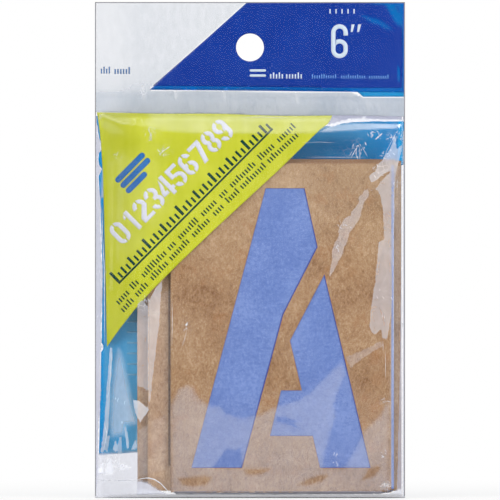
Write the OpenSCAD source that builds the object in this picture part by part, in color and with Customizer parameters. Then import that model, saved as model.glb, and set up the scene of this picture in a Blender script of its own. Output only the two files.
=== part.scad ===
// Set of oilboard lettering stencils, one card to a character, in a clear hang bag.
// Millimetres. +Z is up, +X is to the right of someone facing the front, -Y is the front.
// The origin is the centre of the hang hole, on the plane where the header's two plies meet.

/* [Stencil cards] */
// thickness of one oilboard card
card_t = 0.25; // [0.2:0.01:0.3]
// clearance between one card and the next in the stack
card_gap = 0.03; // [0.02:0.01:0.1]
// height of the characters
cap_h = 152.4; // [140:0.1:160]
// board left above the characters
card_head = 13.5; // [8:0.1:20]
// board left under the characters
card_foot = 13.4; // [8:0.1:20]
// board left at each side of a character
card_side = 11.25; // [8:0.05:16]
// width of an upright stroke
stem = 27.6; // [20:0.1:28]
// thickness of a level stroke
bar = 25.4; // [18:0.1:26]
// board left as a bridge between two cuts
bridge = 9; // [6:0.5:10]
// how much higher the rearmost card stands than the front one
fan_z = 2.5; // [0:0.1:4]

/* [Widths of the characters] */
// the front card's A
w_A = 97.7; // [90:0.1:105]
// C, D, H, U and 4
w_plain = 94; // [88:0.5:100]
// G, O and R
w_round = 96; // [88:0.5:102]
// B, P, S, T and the dollar sign
w_bowls = 92; // [86:0.5:98]
// E, F, J and L
w_arms = 80; // [74:0.5:88]
// K, N, V, X and Y
w_slants = 98; // [92:0.5:106]
// M
w_M = 114; // [106:0.5:120]
// Q with its tail
w_Q = 104; // [98:0.5:112]
// W, the widest
w_W = 121.5; // [118:0.5:128]
// Z and every numeral but 1 and 4
w_digit = 88; // [82:0.5:96]
// 1 with its flag
w_1 = 47.6; // [42:0.2:56]
// ampersand
w_ampersand = 108; // [100:0.5:116]
// cent sign
w_cent = 84; // [78:0.5:92]
// semicolon, and the width of its dot
w_semicolon = 32; // [26:0.5:38]

/* [Interleaf sheet] */
// thickness of the coloured sheet behind the front card
sheet_t = 0.15; // [0.1:0.01:0.25]
// how far the sheet's left edge is inside the front card's left edge
sheet_left = 2.2; // [0.5:0.1:5]
// how far the sheet's right edge passes the front card's right edge
sheet_past = 1.4; // [0.5:0.1:3]
// how far the sheet's foot is above the front card's foot
sheet_foot = 1.9; // [0.5:0.1:5]
// how far the sheet's top is under the front card's top
sheet_head = 0.9; // [0.2:0.1:4]

/* [Bag] */
// thickness of one ply of the film
film_t = 0.15; // [0.1:0.01:0.2]
// height of the header above the centre of the hang hole
header_up = 24.5; // [18:0.1:35]
// how far below the centre of the hang hole the sealed band ends and the mouth begins
seal_low = 35.3; // [25:0.1:45]
// radius of the hang hole
hole_r = 7.6; // [4:0.1:10]
// width of the left seam
seam_left = 3.8; // [2:0.1:6]
// width of the right seam
seam_right = 0.8; // [0.6:0.1:4]
// height of the bottom seam
seam_low = 0.8; // [0.6:0.1:4]
// how far the pouch's left side runs in from its seam to the front panel
slope_left = 17.6; // [5:0.1:25]
// how far the pouch's right side runs in from its seam to the front panel
slope_right = 0.6; // [0.2:0.1:6]
// how far the pouch's bottom rises from its seam to the front panel
slope_low = 1.3; // [0.5:0.1:4]

/* [Stack in the bag] */
// clearance between the stack and the film in front of it and behind it
slide_gap = 0.3; // [0.2:0.01:0.6]
// clearance between the widest card and the pouch's left fold
room_left = 1.5; // [0.3:0.1:4]
// clearance between the widest card and the pouch's right fold
room_right = 0.5; // [0.3:0.1:4]
// clearance between the front card and the pouch's bottom
room_low = 0.75; // [0.3:0.05:3]
// clearance between the highest card and the edge of the mouth
room_up = 25.7; // [10:0.1:40]
// how far the widest card's right edge passes the front card's right edge
edge_step = 5.5; // [2:0.1:8]

/* [Hidden] */
$fn = 96;
layers = 46;
card_pitch = card_t + card_gap;
card_h = card_foot + cap_h + card_head;
front_w = w_A + 2 * card_side;
widest_w = w_W + 2 * card_side;
header_w = seam_left + slope_left + room_left + widest_w + room_right + slope_right + seam_right;
edge_x = header_w / 2;
seam_x0 = -edge_x + seam_left;
seam_x1 = edge_x - seam_right;
fold_x0 = seam_x0 + slope_left;
fold_x1 = seam_x1 - slope_right;
front_right = fold_x1 - room_right - edge_step;
stack_low = seal_low + room_up + fan_z + card_h;
bag_low = stack_low + room_low + film_t + slope_low + seam_low;
stack_back = film_t + slide_gap;
inner_y = stack_back + (layers - 1) * card_pitch + card_t + slide_gap;
outer_y = inner_y + film_t;
seam_bite = 0.6 * film_t;
kraft = [0.69, 0.56, 0.42];

// Shapes that the characters are made of, in a frame with its origin at the foot's left end

module box2(x0, y0, x1, y1) {
  translate([x0, y0]) square([x1 - x0, y1 - y0]);
}

module round2(x0, y0, x1, y1, r) {
  if (x1 - x0 > 2.001 * r) box2(x0 + r, y0, x1 - r, y1);
  if (y1 - y0 > 2.001 * r) box2(x0, y0 + r, x1, y1 - r);
  for (x = [x0 + r, x1 - r])
    for (y = [y0 + r, y1 - r])
      translate([x, y]) circle(r);
}

module ring2(x0, y0, x1, y1, r) {
  inner_r = min(r - stem, (y1 - y0) / 2 - bar, (x1 - x0) / 2 - stem);
  difference() {
    round2(x0, y0, x1, y1, r);
    round2(x0 + stem, y0 + bar, x1 - stem, y1 - bar, inner_r);
  }
}

// A slanted stroke, d wide, whose left edge runs from x0 at y0 to x1 at y1
module lean2(x0, y0, x1, y1, d) {
  polygon([[x0, y0], [x0 + d, y0], [x1 + d, y1], [x1, y1]]);
}

// All that is left of the line from x0 at the foot to x1 at the top
module left_of2(x0, x1) {
  past = (x0 - x1) / 10;
  polygon([
    [-cap_h, -cap_h / 10], [x0 + past, -cap_h / 10], [x1 - past, 1.1 * cap_h], [-cap_h, 1.1 * cap_h]
  ]);
}

module mirrored2(w) {
  children();
  translate([w, 0]) mirror([1, 0]) children();
}

// A bridge of board that stands on end at x, between y0 and y1
module upright_bridge2(x, y0, y1) {
  box2(x - bridge / 2, y0, x + bridge / 2, y1);
}

module stem2() {
  box2(0, 0, stem, cap_h);
}

// What is right of the bridge beside the stem
module past_stem2(w) {
  intersection() {
    children();
    box2(stem + bridge, -cap_h, 2 * w, 2 * cap_h);
  }
}

module glyph_A(w) {
  polygon([
    [0, 0], [stem, 0], [0.513 * w, 0.549 * cap_h], [0.704 * w, 0.79 * cap_h],
    [0.631 * w, cap_h], [0.414 * w, cap_h]
  ]);
  polygon([
    [w, 0], [w - stem, 0], [0.677 * w, 0.114 * cap_h], [0.438 * w, 0.114 * cap_h],
    [0.5 * w, 0.277 * cap_h], [0.616 * w, 0.277 * cap_h], [0.55 * w, 0.455 * cap_h],
    [0.742 * w, 0.692 * cap_h]
  ]);
}

module glyph_B(w) {
  bowl_h = (cap_h + bar) / 2;
  stem2();
  past_stem2(w) {
    ring2(-stem, 0, w, bowl_h, bowl_h / 2);
    ring2(-stem, cap_h - bowl_h, 0.957 * w, cap_h, bowl_h / 2);
  }
}

module glyph_C(w) {
  difference() {
    ring2(0, 0, w, cap_h, w / 2);
    box2(w / 2, 0.33 * cap_h, 2 * w, 0.67 * cap_h);
    upright_bridge2(w / 2, -bar, cap_h + bar);
  }
}

module glyph_D(w) {
  stem2();
  past_stem2(w) ring2(-stem, 0, w, cap_h, w / 2);
}

module glyph_E(w) {
  stem2();
  box2(stem, 0, w, bar);
  box2(stem, cap_h - bar, w, cap_h);
  past_stem2(w) box2(stem, (cap_h - bar) / 2, 0.9 * w, (cap_h + bar) / 2);
}

module glyph_F(w) {
  stem2();
  box2(stem, cap_h - bar, w, cap_h);
  past_stem2(w) box2(stem, 0.394 * cap_h, 0.9 * w, 0.394 * cap_h + bar);
}

module glyph_G(w) {
  spur_y = 0.525 * cap_h;
  difference() {
    ring2(0, 0, w, cap_h, w / 2);
    box2(w / 2, 0.315 * cap_h, 2 * w, 0.685 * cap_h);
    upright_bridge2(w / 2, -bar, cap_h + bar);
  }
  box2(w - stem, 0.31 * cap_h, w, spur_y);
  box2(0.52 * w, spur_y - bar, w - stem, spur_y);
}

module glyph_H(w) {
  stem2();
  box2(w - stem, 0, w, cap_h);
  past_stem2(w) box2(stem, 0.42 * cap_h, w - stem, 0.42 * cap_h + bar);
}

module glyph_I() {
  stem2();
}

module glyph_J(w) {
  difference() {
    ring2(0, 0, w, 2 * cap_h, w / 2);
    box2(-stem, cap_h, 2 * w, 3 * cap_h);
    box2(-stem, 0.315 * cap_h, w / 2, 2 * cap_h);
    upright_bridge2(w / 2, -bar, 1.3 * bar);
  }
}

module glyph_K(w) {
  stem2();
  past_stem2(w)
    polygon([
      [0.2 * w, 0.446 * cap_h], [0.653 * w, cap_h], [w, cap_h], [0.633 * w, 0.551 * cap_h],
      [w, 0], [0.673 * w, 0], [0.444 * w, 0.346 * cap_h], [0.2 * w, 0.052 * cap_h]
    ]);
}

module glyph_L(w) {
  stem2();
  box2(stem, 0, w, bar);
}

module glyph_M(w) {
  mirrored2(w) {
    stem2();
    difference() {
      polygon([
        [0.07 * w, cap_h], [0.263 * w, cap_h], [w / 2, 0.472 * cap_h], [w / 2, 0.131 * cap_h],
        [0.421 * w, 0.131 * cap_h]
      ]);
      box2(-stem, -bar, stem + bridge, 0.79 * cap_h);
    }
  }
}

module glyph_N(w) {
  stem2();
  box2(w - stem, 0, w, cap_h);
  difference() {
    polygon([
      [0.27 * w, cap_h], [0.27 * w, 0.525 * cap_h], [0.73 * w, 0], [0.73 * w, 0.475 * cap_h]
    ]);
    box2(w - stem - bridge, -bar, 2 * w, 2 * cap_h);
  }
}

module glyph_O(w) {
  difference() {
    ring2(0, 0, w, cap_h, w / 2);
    upright_bridge2(w / 2, -bar, cap_h + bar);
  }
}

module glyph_P(w) {
  stem2();
  past_stem2(w) ring2(-stem, 0.36 * cap_h, w, cap_h, 0.32 * cap_h);
}

module glyph_Q(w) {
  glyph_O(0.923 * w);
  polygon([
    [0.54 * w, 0.276 * cap_h], [0.71 * w, 0.276 * cap_h], [w, 0], [0.808 * w, 0]
  ]);
}

module glyph_R(w) {
  bowl_y = 0.394 * cap_h;
  stem2();
  past_stem2(w) ring2(-stem, bowl_y, 0.96 * w, cap_h, 0.303 * cap_h);
  lean2(0.6875 * w, 0, 0.5 * w, bowl_y - bridge, 0.3125 * w);
}

module two_bowls_S(w, h) {
  bowl_h = (h + bar) / 2;
  difference() {
    ring2(0, h - bowl_h, w, h, bowl_h / 2);
    box2(w / 2, -bar, 2 * w, 0.71 * h);
  }
  difference() {
    ring2(0, 0, w, bowl_h, bowl_h / 2);
    box2(-stem, 0.29 * h, w / 2, 2 * h);
  }
}

module glyph_S(w, h = cap_h) {
  difference() {
    two_bowls_S(w, h);
    upright_bridge2(w / 2, h - 1.2 * bar, h + bar);
    upright_bridge2(w / 2, -bar, 1.2 * bar);
  }
}

module glyph_T(w) {
  box2(0, cap_h - bar, w, cap_h);
  box2((w - stem) / 2, 0, (w + stem) / 2, cap_h - bar);
}

module glyph_U(w) {
  difference() {
    ring2(0, 0, w, 2 * cap_h, w / 2);
    box2(-stem, cap_h, 2 * w, 3 * cap_h);
    upright_bridge2(w / 2, -bar, 1.3 * bar);
  }
}

module glyph_V(w) {
  foot = 0.357 * w;
  lean2(foot, 0, 0, cap_h, stem);
  difference() {
    lean2(w - foot - stem, 0, w - stem, cap_h, stem);
    left_of2(foot + stem + bridge, stem + bridge);
  }
}

module glyph_W(w) {
  leg = 0.93 * stem;
  foot = 0.165 * w;
  peak = (w - leg) / 2;
  mirrored2(w) lean2(foot, 0, 0, cap_h, leg);
  difference() {
    mirrored2(w) lean2(foot, 0, peak, cap_h, leg);
    mirrored2(w) left_of2(foot + leg + bridge, leg + bridge);
  }
}

module glyph_X(w) {
  arm = 1.1 * stem;
  lean2(0, 0, w - arm, cap_h, arm);
  polygon([[0, cap_h], [arm, cap_h], [0.46 * w, 0.735 * cap_h], [0.286 * w, 0.538 * cap_h]]);
  polygon([[w, 0], [w - arm, 0], [0.54 * w, 0.262 * cap_h], [0.714 * w, 0.459 * cap_h]]);
}

module glyph_Y(w) {
  arm = 1.1 * stem;
  fork_y = 0.407 * cap_h;
  box2((w - stem) / 2, 0, (w + stem) / 2, fork_y);
  polygon([
    [0, cap_h], [arm, cap_h], [w / 2, 0.709 * cap_h], [0.449 * w, fork_y + bridge],
    [0.337 * w, fork_y + bridge]
  ]);
  polygon([
    [w, cap_h], [w - arm, cap_h], [0.54 * w, 0.604 * cap_h], [0.58 * w, fork_y + bridge],
    [0.663 * w, fork_y + bridge]
  ]);
}

module glyph_Z(w) {
  box2(0, cap_h - bar, w, cap_h);
  box2(0, 0, w, bar);
  lean2(0, bar, 0.636 * w, cap_h - bar, 0.364 * w);
}

module glyph_1(w) {
  flag = w - stem - bridge / 2;
  box2(w - stem, 0, w, cap_h);
  polygon([[0, 0.735 * cap_h], [flag, 0.774 * cap_h], [flag, 0.96 * cap_h], [0, 0.842 * cap_h]]);
}

module glyph_2(w) {
  difference() {
    ring2(0, 0.396 * cap_h, w, cap_h, w / 2);
    box2(-stem, 0, w / 2, 0.7 * cap_h);
    box2(0.49 * w, 0, 2 * w, 0.684 * cap_h);
    upright_bridge2(w / 2, cap_h - 1.2 * bar, cap_h + bar);
  }
  polygon([
    [w, 0.686 * cap_h], [w - stem, 0.686 * cap_h], [0, 0.262 * cap_h], [0, bar],
    [0.375 * w, bar], [w, 0.577 * cap_h]
  ]);
  box2(0, 0, w, bar);
}

module glyph_3(w) {
  bowl_h = (cap_h + bar) / 2;
  difference() {
    union() {
      ring2(0, cap_h - bowl_h, w, cap_h, bowl_h / 2);
      ring2(0, 0, w, bowl_h, bowl_h / 2);
    }
    box2(-stem, 0.3 * cap_h, 0.45 * w, 0.7 * cap_h);
    upright_bridge2(w / 2, cap_h - 1.2 * bar, cap_h + bar);
    upright_bridge2(w / 2, -bar, 1.2 * bar);
  }
}

module glyph_4(w) {
  stem_x = 0.553 * w;
  arm_y = 0.197 * cap_h;
  box2(stem_x, 0, stem_x + stem, cap_h);
  box2(stem_x + stem, arm_y, w, arm_y + bar);
  box2(0, arm_y, stem_x - bridge, arm_y + bar);
  polygon([
    [0, arm_y + bar], [0.298 * w, arm_y + bar], [stem_x - bridge, 0.63 * cap_h],
    [stem_x - bridge, 0.958 * cap_h]
  ]);
}

module glyph_5(w) {
  side = 0.045 * w;
  bowl_h = 0.636 * cap_h;
  box2(side, cap_h - bar, w - side, cap_h);
  box2(side, 0.51 * cap_h, side + stem, cap_h - bar);
  box2(side + stem, bowl_h - bar, 0.51 * w, bowl_h);
  difference() {
    ring2(0, 0, w, bowl_h, w / 2);
    box2(-stem, 0.276 * cap_h, w / 2, cap_h);
    upright_bridge2(w / 2, -bar, 1.2 * bar);
  }
}

module glyph_6(w) {
  difference() {
    union() {
      difference() {
        ring2(0, 0, w, cap_h, w / 2);
        box2(w / 2, 0.262 * cap_h, 2 * w, 0.724 * cap_h);
      }
      ring2(0, 0, w, 0.604 * cap_h, w / 2);
    }
    upright_bridge2(w / 2, -bar, cap_h + bar);
  }
}

module glyph_7(w) {
  box2(0, cap_h - bar, w, cap_h);
  lean2(0.23 * w, 0, 0.64 * w, cap_h - bar, 0.36 * w);
}

module glyph_8(w) {
  bowl_h = (cap_h + bar) / 2;
  difference() {
    union() {
      ring2(0.023 * w, cap_h - bowl_h, 0.977 * w, cap_h, 0.475 * w);
      ring2(0, 0, w, bowl_h, w / 2);
    }
    upright_bridge2(w / 2, -bar, cap_h + bar);
  }
}

module glyph_ampersand(w) {
  difference() {
    union() {
      ring2(0.07 * w, 0.46 * cap_h, 0.72 * w, cap_h, 0.32 * w);
      difference() {
        ring2(0, 0, 0.778 * w, 0.577 * cap_h, 0.385 * w);
        box2(0.435 * w, 0.223 * cap_h, w, cap_h);
      }
      lean2(0.722 * w, 0, 0.426 * w, 0.59 * cap_h, 0.278 * w);
      polygon([
        [0.778 * w, 0.144 * cap_h], [w, 0.328 * cap_h], [w, 0.433 * cap_h],
        [0.778 * w, 0.289 * cap_h]
      ]);
    }
    upright_bridge2(0.395 * w, -bar, cap_h + bar);
  }
}

module glyph_dollar(w) {
  stub = 0.04 * cap_h;
  translate([0, 1.8 * stub]) glyph_S(w, cap_h - 3.6 * stub);
  for (y = [0, cap_h - stub])
    box2(0.39 * w, y, 0.61 * w, y + stub);
}

module glyph_cent(w) {
  stub = 0.079 * cap_h;
  difference() {
    ring2(0, 1.5 * stub, w, cap_h - 1.5 * stub, w / 2);
    box2(w / 2, 0.39 * cap_h, 2 * w, 0.61 * cap_h);
    upright_bridge2(w / 2, -bar, cap_h + bar);
  }
  for (y = [0, cap_h - stub])
    box2(0.38 * w, y, 0.62 * w, y + stub);
}

module glyph_semicolon(w) {
  translate([w / 2, 0.656 * cap_h]) circle(w / 2);
  translate([w / 2, 0.223 * cap_h]) circle(w / 2);
  polygon([[0.125 * w, 0], [0.53 * w, 0], [w, 0.223 * cap_h], [0.437 * w, 0.144 * cap_h]]);
}

// The back face of a layer of the stack, counted from the front
function layer_y(layer) = -stack_back - (layers - 1 - layer) * card_pitch;

// A card wider than the front one passes its right edge, and a narrower one is centred behind it
function card_x(card_w) =
  card_w > front_w
    ? front_right + edge_step * (card_w - front_w) / (widest_w - front_w) - card_w
    : front_right - (front_w + card_w) / 2;

// One card: layer counts from the front, w is the width of its character
module card(layer, w) {
  card_w = w + 2 * card_side;
  color(kraft)
    translate([card_x(card_w), layer_y(layer), -stack_low + fan_z * layer / (layers - 1)])
      rotate([90, 0, 0])
        linear_extrude(card_t)
          difference() {
            square([card_w, card_h]);
            translate([card_side, card_foot]) children();
          }
}

module card_A() { card(0, w_A) glyph_A(w_A); }
module card_A_extra() { card(2, w_A) glyph_A(w_A); }
module card_B() { card(3, w_bowls) glyph_B(w_bowls); }
module card_C() { card(4, w_plain) glyph_C(w_plain); }
module card_D() { card(5, w_plain) glyph_D(w_plain); }
module card_E() { card(6, w_arms) glyph_E(w_arms); }
module card_E_extra() { card(7, w_arms) glyph_E(w_arms); }
module card_F() { card(8, w_arms) glyph_F(w_arms); }
module card_G() { card(9, w_round) glyph_G(w_round); }
module card_H() { card(10, w_plain) glyph_H(w_plain); }
module card_I() { card(11, stem) glyph_I(); }
module card_J() { card(12, w_arms) glyph_J(w_arms); }
module card_K() { card(13, w_slants) glyph_K(w_slants); }
module card_L() { card(14, w_arms) glyph_L(w_arms); }
module card_M() { card(15, w_M) glyph_M(w_M); }
module card_N() { card(16, w_slants) glyph_N(w_slants); }
module card_O() { card(17, w_round) glyph_O(w_round); }
module card_O_extra() { card(18, w_round) glyph_O(w_round); }
module card_P() { card(19, w_bowls) glyph_P(w_bowls); }
module card_Q() { card(20, w_Q) glyph_Q(w_Q); }
module card_R() { card(21, w_round) glyph_R(w_round); }
module card_R_extra() { card(22, w_round) glyph_R(w_round); }
module card_S() { card(23, w_bowls) glyph_S(w_bowls); }
module card_S_extra() { card(24, w_bowls) glyph_S(w_bowls); }
module card_T() { card(25, w_bowls) glyph_T(w_bowls); }
module card_U() { card(26, w_plain) glyph_U(w_plain); }
module card_V() { card(27, w_slants) glyph_V(w_slants); }
module card_W() { card(28, w_W) glyph_W(w_W); }
module card_X() { card(29, w_slants) glyph_X(w_slants); }
module card_Y() { card(30, w_slants) glyph_Y(w_slants); }
module card_Z() { card(31, w_digit) glyph_Z(w_digit); }
module card_0() { card(32, w_digit) glyph_O(w_digit); }
module card_1() { card(33, w_1) glyph_1(w_1); }
module card_2() { card(34, w_digit) glyph_2(w_digit); }
module card_3() { card(35, w_digit) glyph_3(w_digit); }
module card_4() { card(36, w_plain) glyph_4(w_plain); }
module card_5() { card(37, w_digit) glyph_5(w_digit); }
module card_6() { card(38, w_digit) glyph_6(w_digit); }
module card_7() { card(39, w_digit) glyph_7(w_digit); }
module card_8() { card(40, w_digit) glyph_8(w_digit); }
module card_9() { card(41, w_digit) translate([w_digit, cap_h]) rotate(180) glyph_6(w_digit); }
module card_ampersand() { card(42, w_ampersand) glyph_ampersand(w_ampersand); }
module card_dollar() { card(43, w_bowls) glyph_dollar(w_bowls); }
module card_cent() { card(44, w_cent) glyph_cent(w_cent); }
module card_semicolon() { card(45, w_semicolon) glyph_semicolon(w_semicolon); }

// The coloured sheet, in the layer behind the front card
module interleaf() {
  x0 = front_right - front_w + sheet_left;
  color([0.47, 0.56, 0.84])
    translate([x0, layer_y(1) - sheet_t, -stack_low + sheet_foot])
      cube([front_right + sheet_past - x0, sheet_t, card_h - sheet_foot - sheet_head]);
}

// The rear ply: the back of the pouch and of the header, one sheet
module back_film() {
  color([0.62, 0.78, 0.9, 0.5])
    translate([0, film_t, 0])
      rotate([90, 0, 0])
        linear_extrude(film_t)
          difference() {
            translate([-edge_x, -bag_low]) square([header_w, header_up + bag_low]);
            circle(hole_r);
          }
}

// The front ply of the header, welded to the rear ply
module header_ply() {
  color([0.16, 0.25, 0.6, 0.8])
    rotate([90, 0, 0])
      linear_extrude(film_t)
        difference() {
          translate([-edge_x, -seal_low]) square([header_w, header_up + seal_low]);
          circle(hole_r);
        }
}

// The pouch's front as a solid: d is how far it lies inside the outer face
module pouch_block(d, top) {
  x0 = seam_x0 + d * norm([slope_left, outer_y]) / outer_y;
  x1 = seam_x1 - d * norm([slope_right, outer_y]) / outer_y;
  z0 = -bag_low + seam_low + d * norm([slope_low, outer_y]) / outer_y;
  y = outer_y - d;
  intersection() {
    translate([0, 0, -bag_low - 1])
      linear_extrude(top + bag_low + 1)
        polygon([
          [x0, 0], [x1, 0], [x1 - slope_right * y / outer_y, -y], [x0 + slope_left * y / outer_y, -y]
        ]);
    translate([-header_w, 0, 0])
      rotate([90, 0, 90])
        linear_extrude(2 * header_w)
          polygon([[0, z0], [0, top], [-y, top], [-y, z0 + slope_low * y / outer_y]]);
  }
}

// The pouch's front: a flat panel, and two sides and a bottom that run back to the seams
module front_film() {
  color([0.85, 0.88, 0.9, 0.35]) {
    difference() {
      pouch_block(0, -seal_low);
      pouch_block(film_t, -seal_low + 1);
    }
    rotate([90, 0, 0])
      linear_extrude(film_t)
        difference() {
          translate([-edge_x, -bag_low]) square([header_w, bag_low - seal_low]);
          translate([seam_x0 + seam_bite, -bag_low + seam_low + seam_bite])
            square([seam_x1 - seam_x0 - 2 * seam_bite, bag_low]);
        }
  }
}

back_film();
header_ply();
front_film();
interleaf();
card_A();
card_A_extra();
card_B();
card_C();
card_D();
card_E();
card_E_extra();
card_F();
card_G();
card_H();
card_I();
card_J();
card_K();
card_L();
card_M();
card_N();
card_O();
card_O_extra();
card_P();
card_Q();
card_R();
card_R_extra();
card_S();
card_S_extra();
card_T();
card_U();
card_V();
card_W();
card_X();
card_Y();
card_Z();
card_0();
card_1();
card_2();
card_3();
card_4();
card_5();
card_6();
card_7();
card_8();
card_9();
card_ampersand();
card_dollar();
card_cent();
card_semicolon();
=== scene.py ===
import math
import random

import bpy
import numpy as np
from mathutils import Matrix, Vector, geometry


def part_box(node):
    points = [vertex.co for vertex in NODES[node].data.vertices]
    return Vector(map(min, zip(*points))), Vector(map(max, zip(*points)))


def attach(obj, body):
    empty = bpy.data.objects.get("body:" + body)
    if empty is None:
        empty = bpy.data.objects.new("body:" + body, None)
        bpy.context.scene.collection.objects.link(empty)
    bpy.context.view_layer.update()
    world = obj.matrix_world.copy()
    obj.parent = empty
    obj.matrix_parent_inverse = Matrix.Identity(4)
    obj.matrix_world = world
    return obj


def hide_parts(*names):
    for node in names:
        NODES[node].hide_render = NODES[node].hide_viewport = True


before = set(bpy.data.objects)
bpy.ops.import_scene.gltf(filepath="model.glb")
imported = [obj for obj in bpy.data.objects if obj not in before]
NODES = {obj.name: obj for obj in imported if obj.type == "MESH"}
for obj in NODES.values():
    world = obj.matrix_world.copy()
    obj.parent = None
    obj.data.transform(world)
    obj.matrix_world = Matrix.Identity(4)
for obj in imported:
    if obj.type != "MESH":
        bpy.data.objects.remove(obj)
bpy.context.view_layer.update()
random.seed(6)

# Lengths are in millimetres, and places are pixels of the 500 x 500 frame, which at() turns into millimetres.
PX = 0.5462
MID_COLUMN, HOLE_ROW = 250, 47.4
MM = 0.001
INCH = 25.4


def at(px, py):
    return (px - MID_COLUMN) * PX, (HOLE_ROW - py) * PX


def places(points):
    return [at(*p) for p in points]


def srgb(r, g, b):
    """A colour of 0 to 255 as a linear one."""
    shares = (c / 255 for c in (r, g, b))
    return tuple(((s + 0.055) / 1.055) ** 2.4 if s > 0.04 else s / 12.92 for s in shares) + (1.0,)


def add_object(name, data):
    ob = bpy.data.objects.new(name, data)
    bpy.context.scene.collection.objects.link(ob)
    return ob


# Camera, in metres
CAMERA_AWAY, CAMERA_UP, VIEW_WIDE, SENSOR = 6.0, -0.11066, 0.2731, 36
cam = add_object("camera", bpy.data.cameras.new("camera"))
cam.location = (0, -CAMERA_AWAY, CAMERA_UP)
cam.rotation_euler = (math.radians(90), 0, 0)
cam.data.sensor_width = SENSOR
cam.data.lens = SENSOR * CAMERA_AWAY / VIEW_WIDE
cam.data.clip_start, cam.data.clip_end = 0.1, 100
bpy.context.scene.camera = cam

# Sizes from the frame, and the film's cut edges a little past them
lo, hi = (corner * 1000 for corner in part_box("back_film"))
EDGE, TOP, LOW = hi.x + 0.26, hi.z + 0.3, lo.z - 0.3
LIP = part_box("front_film")[1].z * 1000
OUT = -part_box("front_film")[0].y * 1000
BACK_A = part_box("card_A")[1].y * 1000

# The pouch's seams and folds, its depth, how its folds are rounded, and the film and ink
SEAM_L, SEAM_R, SEAM_B = -80.6, 83.6, -245.0
FOLD_L, FOLD_R, FOLD_B = -63.0, 83.0, -243.7
POUCH, LEFT_EASE, RIGHT_ROUND, FOOT_ROUND = 13.6, 6.0, 2.5, 1.0
FILM, INK, HOLE = 0.15, 0.015, 7.6

# The film's slack and its broad and close waves, the swell below its mouth, and the lip's sag and wave
SLACK, BROAD, BROAD_SIZE, CLOSE, CLOSE_SIZE = 0.16, 0.3, 46, 0.1, 13
SWELL, SWELL_Z, SWELL_REACH = 1.7, -47, 8.5
SAG, SAG_X, SAG_REACH, LIP_WAVE, LIP_WAVE_SIZE = 1.2, -20, 60, 0.25, 11
UP_SLACK, LOW_SLACK = 0.75, 0.55

# Ridges in the film: start, end, half width and height in millimetres
RIDGES = [
    ((396, 136), (371, 183), 2.6, 0.8), ((402, 147), (386, 170), 2.2, 0.6),
    ((367, 190), (333, 262), 2.8, 0.7), ((386, 196), (378, 332), 4.2, 0.5),
    ((154, 296), (150, 412), 3.0, 0.55), ((143, 385), (136, 424), 2.6, 0.5),
    ((276, 416), (300, 428), 1.8, 0.35), ((344, 360), (310, 396), 4.0, 0.35),
    ((345, 356), (382, 342), 2.4, 0.3), ((300, 127), (404, 125), 2.2, 0.35),
    ((330, 132), (400, 137), 1.8, 0.3), ((110, 347), (107, 398), 2.0, 0.5),
    ((122, 352), (118, 448), 3.6, 0.6), ((104, 425), (99, 455), 2.0, 0.4), ((112, 456), (106, 474), 1.8, 0.5),
    ((137, 479), (157, 480), 1.6, 0.5), ((157, 480), (170, 491), 1.6, 0.5),
    ((118, 460), (128, 486), 2.4, 0.4), ((149, 126), (154, 141), 1.4, 0.35),
    ((170, 147), (158, 156), 1.4, 0.35), ((113, 140), (104, 230), 2.0, 0.5),
    ((122, 160), (118, 250), 2.4, 0.4), ((187, 386), (176, 404), 3.0, 0.25),
    ((381, 484), (392, 491), 1.4, 0.5), ((360, 440), (384, 412), 3.0, 0.3),
    ((226, 447), (213, 467), 2.6, 0.25),
]
HEADER_RIDGES = [
    ((360, 14), (389, 28), 2.0, 0.4), ((384, 4), (403, 30), 2.6, 0.5), ((396, 58), (401, 90), 2.0, 0.4),
    ((140, 30), (110, 60), 3.5, 0.25), ((300, 6), (310, 40), 3.0, 0.2),
]
SLIGHT_RIDGES = 26
for _ in range(SLIGHT_RIDGES):
    start = (random.uniform(110, 392), random.uniform(125, 470))
    turn, far = random.uniform(0, math.pi), random.uniform(12, 46)
    end = (start[0] + far * math.cos(turn), start[1] + far * math.sin(turn))
    RIDGES.append((start, end, random.uniform(1.6, 3.6), random.uniform(0.06, 0.2)))


def smin(a, b, k):
    """The lesser of two values, rounded where they meet."""
    h = np.clip(k - np.abs(a - b), 0, None) / k
    return np.minimum(a, b) - h * h * k / 4


def smooth(a, b, v):
    """0 before a, 1 after b, and a smooth step between."""
    t = np.clip((v - a) / (b - a), 0, 1)
    return t * t * (3 - 2 * t)


def field(x, z, size, seed, octaves=2, cells=64):
    """Smooth gradient noise from about -1 to 1, features about size millimetres wide."""
    turn = np.random.default_rng(seed).uniform(0, 2 * math.pi, (cells, cells))
    out, strength = np.zeros(len(x)), 1.5
    for k in range(octaves):
        u, v = x / size * 2.1 ** k + 31.7, z / size * 2.1 ** k + 47.3
        i, j = np.floor(u).astype(int), np.floor(v).astype(int)
        u, v = u - i, v - j
        right, up = smooth(0, 1, u), smooth(0, 1, v)
        value = []
        for di, dj in ((0, 0), (1, 0), (0, 1), (1, 1)):
            t = turn[(i + di) % cells, (j + dj) % cells]
            value.append(np.cos(t) * (u - di) + np.sin(t) * (v - dj))
        low, high = (a * (1 - right) + b * right for a, b in (value[:2], value[2:]))
        out += strength * (low * (1 - up) + high * up)
        strength *= 0.5
    return out


def pairs(loop):
    """Each item of a loop with the next one."""
    return zip(loop, loop[1:] + loop[:1])


def from_line(x, z, start, end):
    """Distance from a segment in millimetres, and the share of the way along it."""
    (ax, az), (bx, bz) = start, end
    dx, dz = bx - ax, bz - az
    t = np.clip(((x - ax) * dx + (z - az) * dz) / max(dx * dx + dz * dz, 1e-9), 0, 1)
    return np.hypot(x - ax - t * dx, z - az - t * dz), t


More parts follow.
